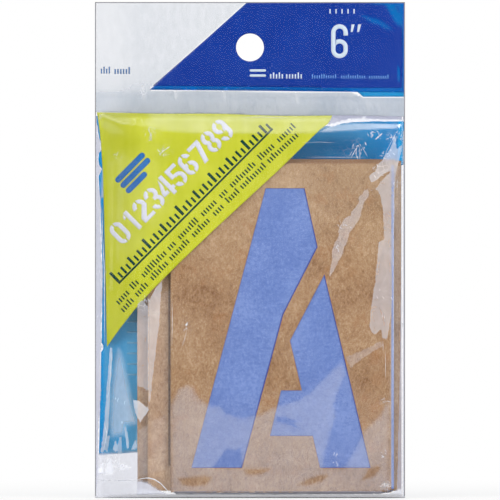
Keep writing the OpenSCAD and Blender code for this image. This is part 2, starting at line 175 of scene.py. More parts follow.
def inside(x, z, loops):
    """Even-odd test of points against loops of (x, z)."""
    hit = np.zeros(len(x), bool)
    for loop in loops:
        for (x0, z0), (x1, z1) in pairs(loop):
            if z0 == z1:
                continue
            cross = (z0 > z) != (z1 > z)
            hit ^= cross & (x < (x1 - x0) * (z - z0) / (z1 - z0) + x0)
    return hit


def patch(x, z, corners, soft):
    """1 inside the polygon of frame positions, 0 outside, with an edge soft millimetres wide."""
    loop = places(corners)
    d = np.full(len(x), 1e9)
    for start, end in pairs(loop):
        d = np.minimum(d, from_line(x, z, start, end)[0])
    d = np.where(inside(x, z, [loop]), d, -d)
    return smooth(-soft / 2, soft / 2, d)


def spots(x, z, circles):
    """Soft round spots: frame position and radius in pixels."""
    out = np.zeros(len(x))
    for px, py, r in circles:
        cx, cz = at(px, py)
        out = np.maximum(out, np.exp(-(((x - cx) ** 2 + (z - cz) ** 2) / (r * PX) ** 2)))
    return out


# The film's shape
def fold(inward, r, run):
    """The film's depth by the distance inwards from a fold: round within it, and a wall beyond it."""
    bend = POUCH - r + np.sqrt(np.clip(r * r - (r - inward) ** 2, 0, None))
    wall = np.clip(1 + inward / run, 0, 1) * (POUCH - r)
    return np.where(inward > r, POUCH, np.where(inward > 0, bend, wall))


def pillow(x, z):
    """How far the front film stands off the header plane, without its wrinkles."""
    left = smin(np.clip((x - SEAM_L) / (FOLD_L - SEAM_L), 0, None) * POUCH, POUCH + 0 * x, LEFT_EASE)
    right = fold(FOLD_R - x, RIGHT_ROUND, SEAM_R - FOLD_R)
    foot = fold(z - FOLD_B, FOOT_ROUND, FOLD_B - SEAM_B)
    return np.minimum(np.minimum(left, right), foot)


def relief(x, z, ridges, ends):
    """Height of ridges that fall to the share ends at both ends."""
    out = 0 * x
    for start, end, wide, high in ridges:
        d, t = from_line(x, z, at(*start), at(*end))
        crest = np.sin(np.pi * np.clip(t, 0.02, 0.98))
        out = out + high * np.exp(-((d / wide) ** 2)) * (ends + (1 - ends) * crest)
    return out


def wrinkles(x, z):
    """How far wrinkles and slack push the film out."""
    slack = SLACK + BROAD * (1 + field(x, z, BROAD_SIZE, 1)) + CLOSE * (1 + field(x, z, CLOSE_SIZE, 2))
    swell = SWELL * np.exp(-(((z - SWELL_Z) / SWELL_REACH) ** 2)) * (1 + 0.25 * field(x, z, 30, 3, 1))
    return slack + swell + relief(x, z, RIDGES, 0.35)


def film_y(x, z):
    """The pouch's front film: its outer side."""
    x, z = np.asarray(x, float), np.asarray(z, float)
    deep = pillow(x, z)
    return -FILM - deep - wrinkles(x, z) * np.clip(deep / POUCH, 0, 1)


def lip_z(x):
    """The front film's upper edge: it hangs lower towards the right."""
    x = np.asarray(x, float)
    return LIP - SAG - SAG * np.tanh((x - SAG_X) / SAG_REACH) - LIP_WAVE * np.sin(x / LIP_WAVE_SIZE)


def flat_y(x, z):
    """The header plane: the seal is straight, and above and below it the film is slack."""
    x, z = np.asarray(x, float), np.asarray(z, float)
    up = smooth(LIP + 1, LIP + 22, z)
    low = smooth(LIP - 4, LIP - 30, z) * np.clip((80 - np.abs(x)) / 14, 0, 1) * smooth(SEAM_B, SEAM_B + 14, z)
    wave = 0.5 + 0.5 * field(x, z, 34, 5)
    return wave * (UP_SLACK * up + LOW_SLACK * low) + relief(x, z, HEADER_RIDGES, 0) * up


# Mesh helpers
def shell(name, faces, front, back, mats, body="bag", smoothly=True):
    """A closed thin sheet from its front and back points in millimetres, with an edge round them."""
    n = len(front)
    verts = np.vstack([front, back]) * MM
    back_slot, edge_slot = min(1, len(mats) - 1), 2 if len(mats) > 2 else 0
    edges, polys, kind = {}, [], []
    for f in faces:
        polys += [tuple(f), tuple(i + n for i in reversed(f))]
        kind += [0, back_slot]
        edges.update(dict.fromkeys(pairs(f)))
    for a, b in edges:
        if (b, a) not in edges:
            polys.append((b, a, a + n, b + n))
            kind.append(edge_slot)
    me = bpy.data.meshes.new(name)
    me.from_pydata([tuple(v) for v in verts], [], polys)
    for m in mats:
        me.materials.append(m)
    me.polygons.foreach_set("material_index", kind)
    me.polygons.foreach_set("use_smooth", [smoothly and k < 2 for k in kind])
    me.validate()
    me.update()
    ob = add_object(name, me)
    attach(ob, body)
    return ob


def stepped(loop, step):
    """The loop with points at most step apart."""
    out = []
    for (x0, z0), (x1, z1) in pairs(loop):
        cuts = max(1, math.ceil(math.hypot(x1 - x0, z1 - z0) / step - 1e-6))
        out += [(x0 + (x1 - x0) * k / cuts, z0 + (z1 - z0) * k / cuts) for k in range(cuts)]
    return out


def grid_points(loops, rim, step):
    """Points inside the loops, but not close to their edges."""
    spans = (np.arange(rim[:, k].min() + step / 2, rim[:, k].max(), step) for k in (0, 1))
    x, z = (v.ravel() for v in np.meshgrid(*spans))
    keep = inside(x, z, loops)
    for loop in loops:
        for start, end in pairs(loop):
            keep &= from_line(x, z, start, end)[0] > step * 0.35
    return list(zip(x[keep], z[keep]))


def mesh_in(loops, step, grid=True):
    """Points about step millimetres apart and triangles that fill the loops, even-odd."""
    pts, edges = [], []
    for loop in loops:
        more, start = stepped(loop, step), len(pts)
        edges += [(start + i, start + (i + 1) % len(more)) for i in range(len(more))]
        pts += more
    if grid:
        pts += grid_points(loops, np.array(pts), step)
    co, _, f, *_ = geometry.delaunay_2d_cdt([Vector(p) for p in pts], edges, [], 0, 1e-7)
    co, f = np.array([tuple(c) for c in co]), np.array(f)
    mid = co[f].mean(axis=1)
    f = f[inside(mid[:, 0], mid[:, 1], loops)]
    u, v = co[f[:, 1]] - co[f[:, 0]], co[f[:, 2]] - co[f[:, 0]]
    area = u[:, 0] * v[:, 1] - u[:, 1] * v[:, 0]
    f, area = f[np.abs(area) > 1e-7], area[np.abs(area) > 1e-7]
    f[area < 0] = f[area < 0][:, ::-1]
    used, f = np.unique(f, return_inverse=True)
    return co[used], [tuple(t) for t in f.reshape(-1, 3).tolist()]


def lay(name, pts, faces, surf, near, far, mats):
    """A thin piece along a surface, from near to far millimetres behind it."""
    x, z = pts[:, 0], pts[:, 1]
    y = surf(x, z)
    front, back = (np.column_stack([x, y + depth, z]) for depth in (near, far))
    return shell(name, faces, front, back, mats)


def points_of(ob):
    """The x, y and z of a mesh's points in millimetres."""
    return np.array([tuple(v.co) for v in ob.data.vertices]).T * 1000


def paint(ob, **values):
    """Stores numbers at a mesh's points, for its material to read."""
    for name, v in values.items():
        ob.data.attributes.new(name, "FLOAT", "POINT").data.foreach_set("value", np.asarray(v, np.float32))


def ring(r, n=64):
    return [(r * math.cos(2 * math.pi * i / n), r * math.sin(2 * math.pi * i / n)) for i in range(n)]


def node_loops(node):
    """The cut-outs on the front of a card, as loops of (x, z) in millimetres."""
    me = NODES[node].data
    edges = {}
    for face in me.polygons:
        if face.normal.y < -0.9:
            corners = [me.vertices[i].co for i in face.vertices]
            edges.update(dict.fromkeys(pairs([(round(c.x * 1e5), round(c.z * 1e5)) for c in corners])))
    onward = {}
    for a, b in edges:
        if a != b and (b, a) not in edges:
            onward.setdefault(a, []).append(b)
    loops = []
    while onward:
        a, loop = next(iter(onward)), []
        while a in onward:
            loop.append((a[0] / 100, a[1] / 100))
            b = onward[a].pop()
            if not onward[a]:
                del onward[a]
            a = b
        if len(loop) > 2:
            loops.append(loop)
    loops.sort(key=lambda loop: np.ptp(loop, axis=0).sum())
    return loops[:-1]


# Materials
class Nodes:
    """A helper for writing the nodes of a material or of the world."""

    def __init__(self, owner, output):
        owner.use_nodes = True
        self.owner, self.tree = owner, owner.node_tree
        self.tree.nodes.clear()
        self.out = self.n(output)

    def n(self, kind, ins=None, **props):
        node = self.tree.nodes.new("ShaderNode" + kind)
        for key, value in props.items():
            setattr(node, key, value)
        for key, value in (ins or {}).items():
            if isinstance(value, bpy.types.NodeSocket):
                self.tree.links.new(value, node.inputs[key])
            else:
                node.inputs[key].default_value = value
        return node

    def math(self, op, a, b=0.0, clamp=False):
        return self.n("Math", {0: a, 1: b}, operation=op, use_clamp=clamp).outputs[0]

    def add(self, a, b, clamp=False):
        return self.math("ADD", a, b, clamp)

    def sub(self, a, b, clamp=False):
        return self.math("SUBTRACT", a, b, clamp)

    def mul(self, a, b, clamp=False):
        return self.math("MULTIPLY", a, b, clamp)

    def xyz(self, vector):
        return self.n("SeparateXYZ", {0: vector}).outputs

    def sum(self, first, *others):
        total = self.mul(*first)
        for value in others:
            total = self.add(total, self.mul(*value))
        return total

    def vary(self, value, noise, low, span, clamp=False):
        """The value times an uneven share."""
        return self.mul(value, self.add(low, self.mul(noise, span)), clamp)

    def fade(self, value, start, end, low=0.0, high=1.0, kind="LINEAR"):
        """Goes from low to high as the value goes from start to end."""
        ins = {0: value, 1: start, 2: end, 3: low, 4: high}
        return self.n("MapRange", ins, interpolation_type=kind).outputs[0]

    def noise(self, scale, detail=3.0, rough=0.55, stretch=(1, 1, 1), shift=(0, 0, 0), distort=0.0):
        place = self.n("Mapping", {"Vector": self.co, "Scale": stretch, "Location": shift}).outputs[0]
        ins = {"Vector": place, "Scale": scale, "Detail": detail, "Roughness": rough, "Distortion": distort}
        return self.n("TexNoise", ins).outputs["Fac"]

    def ramp(self, fac, stops):
        node = self.n("ValToRGB", {0: fac})
        marks = node.color_ramp.elements
        while len(marks) < len(stops):
            marks.new(0.5)
        for mark, (place, colour) in zip(marks, stops):
            mark.position, mark.color = place, colour
        return node.outputs[0]

    def tint(self, fac, *stops):
        return self.ramp(fac, [(place, srgb(*rgb)) for place, rgb in stops])

    def shade(self, fac, low, high, start=0.3, end=0.7):
        """A grey from low to high as fac goes from start to end."""
        return self.ramp(fac, [(start, (low, low, low, 1)), (end, (high, high, high, 1))])

    def mix(self, fac, a, b):
        return self.n("Mix", {0: fac, 6: a, 7: b}, data_type="RGBA").outputs[2]

    def bump(self, height, strength, distance):
        return self.n("Bump", {"Height": height, "Strength": strength, "Distance": distance}).outputs[0]

    def principled(self, colour, rough, level=0.5, **more):
        ins = {"Base Color": colour, "Roughness": rough, "Specular IOR Level": level, **more}
        return self.n("BsdfPrincipled", ins).outputs[0]

    def clear(self, colour):
        return self.n("BsdfTransparent", {"Color": colour}).outputs[0]

    def over(self, share, under, top):
        """One shader over another, by share."""
        return self.n("MixShader", {0: share, 1: under, 2: top}).outputs[0]

    def read(self, name):
        """A value that paint() stored."""
        return self.n("Attribute", attribute_name=name).outputs["Fac"]

    def done(self, shader):
        self.tree.links.new(shader, self.out.inputs["Surface"])
        return self.owner


def material(name):
    g = Nodes(bpy.data.materials.new(name), "OutputMaterial")
    g.co = g.n("TexCoord").outputs["Object"]
    return g


def kraft(name, seed, tone):
    """Oiled kraft board: fine fibres, soft clouds, a few warm stains and a darker layered cut edge;
    paler towards the top as painted light, and darker above the front card's top edge as painted shade.
    """
    g = material(name)
    shift = (seed * 0.37, 0, seed * 0.61)
    cloud = g.noise(30, 4, 0.6, (1, 0.2, 1), shift, 0.4)
    fleck = g.noise(330, 4, 0.7, (1, 0.2, 0.8), shift)
    fibre = g.noise(1300, 3, 0.65, (1, 0.2, 0.6), shift, 0.8)
    shades = (0.38, (134, 98, 66)), (0.46, (160, 125, 92)), (0.53, (175, 142, 108)), (0.62, (196, 166, 134))
    shades = [(place, [c + tone for c in rgb]) for place, rgb in shades]
    col = g.tint(g.sum((cloud, 0.34), (fleck, 0.24), (fibre, 0.42)), *shades)
    up = g.xyz(g.co)[2]
    # Painted light: the upper part of each card is paler, as if lit more from above.
    col = g.mix(g.fade(up, -0.125, -0.08, 0.0, 0.15), col, srgb(213, 197, 166))
    # Painted shade: the cards behind are darker where they stand above the front card's top edge.
    col = g.mix(g.fade(up, -0.0638, -0.0634, 0.0, 0.42), col, srgb(140, 98, 74))
    warm = g.shade(g.noise(70, 4, 0.7, (1, 0.2, 1), (seed * 0.11, 0, 4)), 0, 1, 0.54, 0.72)
    col = g.mix(g.mul(warm, 0.5), col, srgb(164, 114, 72))
    facing = g.math("ABSOLUTE", g.xyz(g.n("NewGeometry").outputs["Normal"])[1])
    layers = g.noise(2600, 2, 0.5, (0.02, 1, 0.02), shift)
    layers = g.tint(layers, (0.35, (134, 104, 76)), (0.65, (178, 146, 114)))
    col = g.mix(g.math("LESS_THAN", facing, 0.5), col, layers)
    return g.done(g.principled(col, g.shade(fleck, 0.5, 0.68), 0.08, Normal=g.bump(fibre, 0.3, 0.0001)))


def paper(name):
    """Lilac blue sheet: soft cloudy tone with a fine woven grain."""
    g = material(name)
    cloud = g.noise(30, 3, 0.5, (1, 0.2, 1))
    grain = g.noise(1000, 2, 0.6, (1, 0.2, 0.5))
    cross = g.noise(1000, 2, 0.6, (0.4, 0.2, 1), (4, 0, 1))
    weave = g.sum((cloud, 0.4), (grain, 0.3), (cross, 0.3))
    col = g.tint(weave, (0.4, (92, 117, 178)), (0.5, (105, 129, 187)), (0.6, (119, 142, 197)))
    return g.done(g.principled(col, g.shade(grain, 0.5, 0.62), 0.1, Normal=g.bump(grain, 0.2, 0.00008)))


def ink(name, rgb, paler, worn=None):
    """Ink under film: a colour with faint press streaks, and a paler one where the piece is painted with a
    sheen, a painted highlight.
    """
    g = material(name)
    streak = g.noise(420, 3, 0.6, (1, 0.2, 0.1))
    cloud = g.noise(60, 3, 0.5, (1, 0.2, 1))
    col = g.tint(g.sum((streak, 0.45), (cloud, 0.55)), (0.38, rgb), (0.62, paler))
    if worn:
        col = g.mix(g.vary(g.read("worn"), cloud, 0.6, 0.8, clamp=True), col, srgb(*worn))
    return g.done(g.principled(col, g.shade(streak, 0.32, 0.42), 0.03, Normal=g.bump(streak, 0.08, 0.00005)))


def rim_of_film(g, x, z, wide=0.00054):
    """1 on the film's cut rim and 0 elsewhere."""
    side = g.sub(EDGE * MM, g.math("ABSOLUTE", x))
    end = g.sub((TOP - LOW) * MM / 2, g.math("ABSOLUTE", g.sub(z, (TOP + LOW) * MM / 2)))
    return g.math("LESS_THAN", g.math("MINIMUM", side, end), wide)


def folds_of_film(g, crease, fine):
    """The sharp lines of small folds, where the film is painted as creased."""
    warp = g.n("TexNoise", {"Vector": g.co, "Scale": 260.0, "Detail": 3.0}).outputs["Color"]
    warp = g.n("VectorMath", {0: warp, 1: (0.0028, 0.0028, 0.0028)}, operation="MULTIPLY").outputs[0]
    place = g.n("VectorMath", {0: g.co, 1: warp}, operation="ADD").outputs[0]
    cells = g.n("TexVoronoi", {"Vector": place, "Scale": 330.0}, feature="DISTANCE_TO_EDGE")
    return g.mul(g.fade(cells.outputs["Distance"], 0.0, 0.06, 1.0, 0.0), g.mul(crease, fine), clamp=True)


def film(name, dull=(156, 166, 180)):
    """Clear film. Painted on it are haze, a soft bloom, partly the film's own and partly painted reflection;
    veil and power, patches with ragged edges, partly scuffed or crumpled film and partly painted reflections
    of the lamps;
    grey, how dark they are, the darkest being painted shade; glare, a painted highlight; and crease, small
    folds."""
    g = material(name)
    fine = g.noise(300, 4, 0.6, (1, 0.2, 0.5))
    broad = g.noise(45, 3, 0.55, (1, 0.2, 1))
    ragged = g.noise(330, 5, 0.68, (1, 0.2, 0.8), (3, 0, 5), 0.6)
    crumple = g.noise(95, 4, 0.6, (1, 0.2, 0.7), (1, 0, 2), 1.6)
    haze, veil, power, crease, grey, glare = map(g.read, ("haze", "veil", "power", "crease", "grey", "glare"))
    x, _, z = g.xyz(g.co)
    rim, line = rim_of_film(g, x, z), folds_of_film(g, crease, fine)
    edge = g.add(veil, g.mul(g.sub(ragged, 0.5), 1.1))
    painted_veil = g.vary(g.mul(g.fade(edge, 0.4, 0.6, kind="SMOOTHSTEP"), power), crumple, 0.64, 0.72)
    share = g.add(g.math("MAXIMUM", g.vary(haze, fine, 0.75, 0.5), painted_veil), g.mul(line, 0.5))
    share = g.math("MAXIMUM", share, g.mul(rim, 0.95), clamp=True)
    # The darkest veil colour is painted shade, for the dark line along the pouch's foot.
    col = g.tint(g.sub(grey, line, clamp=True), (0.0, (238, 240, 248)), (0.5, dull), (1.0, (84, 82, 90)))
    # Painted light: the cut rim is paler along the foot, against the floor's shade.
    at_foot = g.math("LESS_THAN", z, (LOW + 1) * MM)
    col = g.mix(rim, col, g.mix(at_foot, srgb(138, 138, 144), srgb(192, 192, 197)))
    bump = g.bump(g.add(broad, g.mul(fine, 0.02)), 0.4, 0.0006)
    veiled = g.principled(col, g.shade(fine, 0.3, 0.4), 0.06, Normal=bump)
    sheet = g.over(share, g.clear((0.99, 0.99, 0.992, 1)), veiled)
    gloss = g.n("BsdfGlossy", {"Color": (1, 1, 1, 1), "Roughness": 0.14, "Normal": bump}).outputs[0]
    shine = g.math("MINIMUM", g.n("Fresnel", {"IOR": 1.11, "Normal": bump}).outputs[0], 0.16)
    shine = g.mul(shine, g.sub(1.0, g.mul(grey, 0.95), clamp=True))
    shine = g.add(shine, g.vary(glare, fine, 0.7, 0.6), clamp=True)
    return g.done(g.over(g.mul(shine, g.sub(1.0, rim)), sheet, gloss))


def film_inner(name):
    """The film's inner side: clear, with a faint bloom."""
    g = material(name)
    bloom = g.mul(g.noise(60, 3, 0.5, (1, 0.2, 1)), 0.008)
    return g.done(g.over(bloom, g.clear((0.99, 0.99, 0.995, 1)), g.principled(srgb(225, 226, 236), 0.3)))


def film_edge(name):
    """The film's cut edge: pale grey, a little uneven."""
    g = material(name)
    col = g.tint(g.noise(500, 2, 0.5), (0.4, (176, 178, 186)), (0.6, (206, 208, 214)))
    return g.done(g.principled(col, 0.35))


def whitened_film(name):
    """Film that has gone unevenly white along a crease, also used for painted highlight lines."""
    g = material(name)
    patchy = g.noise(700, 3, 0.6)
    white = g.principled(g.tint(patchy, (0.35, (226, 229, 238)), (0.65, (244, 246, 252))), 0.3)
    return g.done(g.over(g.add(0.25, g.mul(patchy, 0.9), clamp=True), g.clear((1, 1, 1, 1)), white))


def panel_ink_and_shade(name):
    """The back panel's blue: paler and greener at the edges; painted shade, deeper, where the pouch shades
    it;
    and painted light, paler, next to the cards' left edge, against the shadow they throw.
    """
    g = material(name)
    x, _, z = g.xyz(g.co)
    streak = g.noise(300, 4, 0.6, (0.15, 0.2, 1))
    cloud = g.noise(60, 3, 0.5, (1, 0.2, 1), (0, 0, 0), 0.8)
    # Painted shade: deeper blue in the pouch between the lip and the cards' tops.
    right = g.mix(g.fade(z, -0.0455, -0.053), srgb(62, 142, 194), srgb(4, 97, 151))
    right = g.mix(g.fade(x, 0.056, 0.076), right, srgb(30, 132, 194))
    left = g.mix(g.fade(x, -0.0804, -0.0791), srgb(0, 146, 214), srgb(70, 158, 208))
    # Painted light: paler towards the cards' left edge, against their shadow on the panel.
    left = g.mix(g.fade(x, -0.0706, -0.0622), left, srgb(112, 202, 252))
    col = g.mix(g.fade(x, -0.05, -0.04), left, right)
    col = g.mix(g.fade(x, 0.0806, 0.0813), col, srgb(0, 158, 220))
    dark, light = g.mix(0.22, col, srgb(10, 70, 130)), g.mix(0.14, col, srgb(60, 172, 222))
    col = g.mix(g.fade(g.sum((streak, 0.45), (cloud, 0.55)), 0.36, 0.66), dark, light)
    return g.done(g.principled(col, g.shade(streak, 0.3, 0.42), 0.03))


INNER, CUT_EDGE = film_inner("film_inner"), film_edge("film_cut_edge")
FRONT_MATS = [film("film_front_clear", (160, 163, 184)), INNER, CUT_EDGE]
HEAD_MATS = [film("film_header_clear"), INNER, CUT_EDGE]
BACK_MATS = [film_inner("film_back_inner"), film("film_back_clear"), CUT_EDGE]
DEEP = ink("ink_deep_blue", (14, 50, 140), (20, 57, 147), worn=(0, 104, 176))
CYAN = ink("ink_blue", (0, 84, 164), (0, 96, 176))
SKY = ink("ink_sky", (14, 132, 190), (32, 144, 200))
LIME = ink("ink_lime", (182, 188, 34), (194, 198, 54))
WHITE = ink("ink_white", (200, 201, 214), (210, 211, 223))
PALE = ink("ink_pale", (192, 207, 220), (206, 219, 230))
FAINT = ink("ink_faint", (96, 150, 214), (112, 162, 220))
GREEN = ink("ink_green", (0, 52, 40), (4, 62, 50))
MARK = ink("ink_mark", (6, 90, 160), (18, 104, 172))
BACK_LINES = ink("ink_back_lines", (118, 182, 222), (132, 190, 226))
# cut_shade is no ink but painted shade, for the dark strip in the front card's cut-outs.
CUT_SHADE = ink("cut_shade", (54, 68, 150), (66, 80, 160))

# The header's film: where it has no ink, and a painted highlight along the seal
HEADER_OPEN = [
    (90, -3), (245.2, -3), (246.2, 2.5), (150.8, 88.4), (151, 90.2), (340, 92.3), (352, 92.6), (363, 97.3),
    (410, 97.3), (410, 122), (90, 122)]
SEAL_GLARE = [(96, 98), (180, 97), (320, 99), (404, 101), (404, 106), (300, 104), (96, 103)]
# How white it is by frame row, and clearer upright streaks: column, top and foot
HEADER_ROWS = [0, 8, 62, 80, 91, 93, 95.5, 97.5, 101, 107, 114]
HEADER_WHITE = [0.26, 0.32, 0.34, 0.4, 0.54, 0.72, 0.68, 0.8, 0.77, 0.71, 0.74]
HEADER_STREAKS = (143, 87, 99), (175, 90, 98), (223.5, 91, 97), (296, 88, 101)
hole = ring(HOLE)


def header_film():
    """The header's front ply."""
    lip = [(x, float(lip_z(x)) + 0.05) for x in np.linspace(-EDGE, EDGE, 60)]
    loops = [lip + [(EDGE, TOP), (-EDGE, TOP)], hole]
    ob = lay("bag_header_film", *mesh_in(loops, 0.95), flat_y, -FILM, -0.02, HEAD_MATS)
    x, _, z = points_of(ob)
    open_zone = patch(x, z, HEADER_OPEN, 0.5)
    white = np.interp((HOLE_ROW - z / PX), HEADER_ROWS, HEADER_WHITE)
    white = white * (1 + 0.1 * field(x, z, 24, 11)) + 0.1 * smooth(20, 60, x) * smooth(-24, -30, z)
    haze = 0.004 + open_zone * white * (1 - 0.28 * smooth(-60, -76, x) * (1 - 0.6 * smooth(-22, -27, z)))
    for px, y0, y1 in HEADER_STREAKS:
        away = from_line(x, z, at(px, y0), at(px + 1, y1))[0]
        haze *= 1 - 0.35 * np.exp(-((away / 0.7) ** 2))
    paint(ob, haze=haze, grey=0.5 * open_zone, crease=spots(x, z, [(143, 93, 4)]),
          glare=0.03 * patch(x, z, SEAL_GLARE, 3.0))
    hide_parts("header_ply")


def back_film():
    """The rear ply of the header and the pouch."""
    outline = [(-EDGE, LOW), (EDGE, LOW), (EDGE, TOP), (-EDGE, TOP)]
    ob = lay("bag_back_film", *mesh_in([outline, hole], 1.9), flat_y, 0.0, FILM, BACK_MATS)
    x, _, z = points_of(ob)
    creased = spots(x, z, [(300, 480, 9), (130, 470, 8), (395, 130, 8)])
    paint(ob, haze=0.03 + 0.02 * (1 + field(x, z, 30, 12)), grey=0 * x + 0.25, crease=creased)
    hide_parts("back_film")


header_film()
back_film()


# Steps of the front film's grid, of its two outermost rows, and of its slope's measure
GRID, RIM_GRID, TINY = 0.9, 0.4, 0.05


def front_film():
    """The pouch's front: a grid, close at the folds, with its own thickness inwards."""
    bend = FOLD_R - RIGHT_ROUND
    xs = np.concatenate([
        [-EDGE, -EDGE + RIM_GRID, -EDGE + GRID, -82.2, SEAM_L], np.arange(SEAM_L + GRID, bend - 0.1, GRID),
        np.linspace(bend, FOLD_R, 8), np.linspace(FOLD_R, SEAM_R, 9)[1:], [84.0, EDGE]])
    zs = np.concatenate([
        [LOW, LOW + RIM_GRID, SEAM_B], np.linspace(SEAM_B, FOLD_B, 7)[1:],
        np.linspace(FOLD_B, FOLD_B + FOOT_ROUND, 6)[1:],
        np.arange(FOLD_B + 2 * GRID, LIP - 0.6, GRID), [LIP]])
    x, z = np.meshgrid(xs, zs)
    drop = (LIP - lip_z(x)) * smooth(-60, LIP, z)
    x, z = x.ravel(), (z - drop).ravel()
    y = film_y(x, z)
    slope_x = (film_y(x + TINY, z) - film_y(x - TINY, z)) / (2 * TINY)
    slope_z = (film_y(x, z + TINY) - film_y(x, z - TINY)) / (2 * TINY)
    length = np.sqrt(slope_x ** 2 + 1 + slope_z ** 2)
    thick = np.where(y > -FILM - 0.01, FILM - 0.02, FILM)
    front = np.column_stack([x, y, z])
    inner = front + np.column_stack([-slope_x, np.ones(len(x)), -slope_z]) / length[:, None] * thick[:, None]
    wide, high = len(xs), len(zs)
    quads = [(j * wide + i, j * wide + i + 1, (j + 1) * wide + i + 1, (j + 1) * wide + i)
             for j in range(high - 1) for i in range(wide - 1)]
    ob = shell("bag_front_film", quads, front, inner, FRONT_MATS)
    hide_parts("front_film")
    return ob
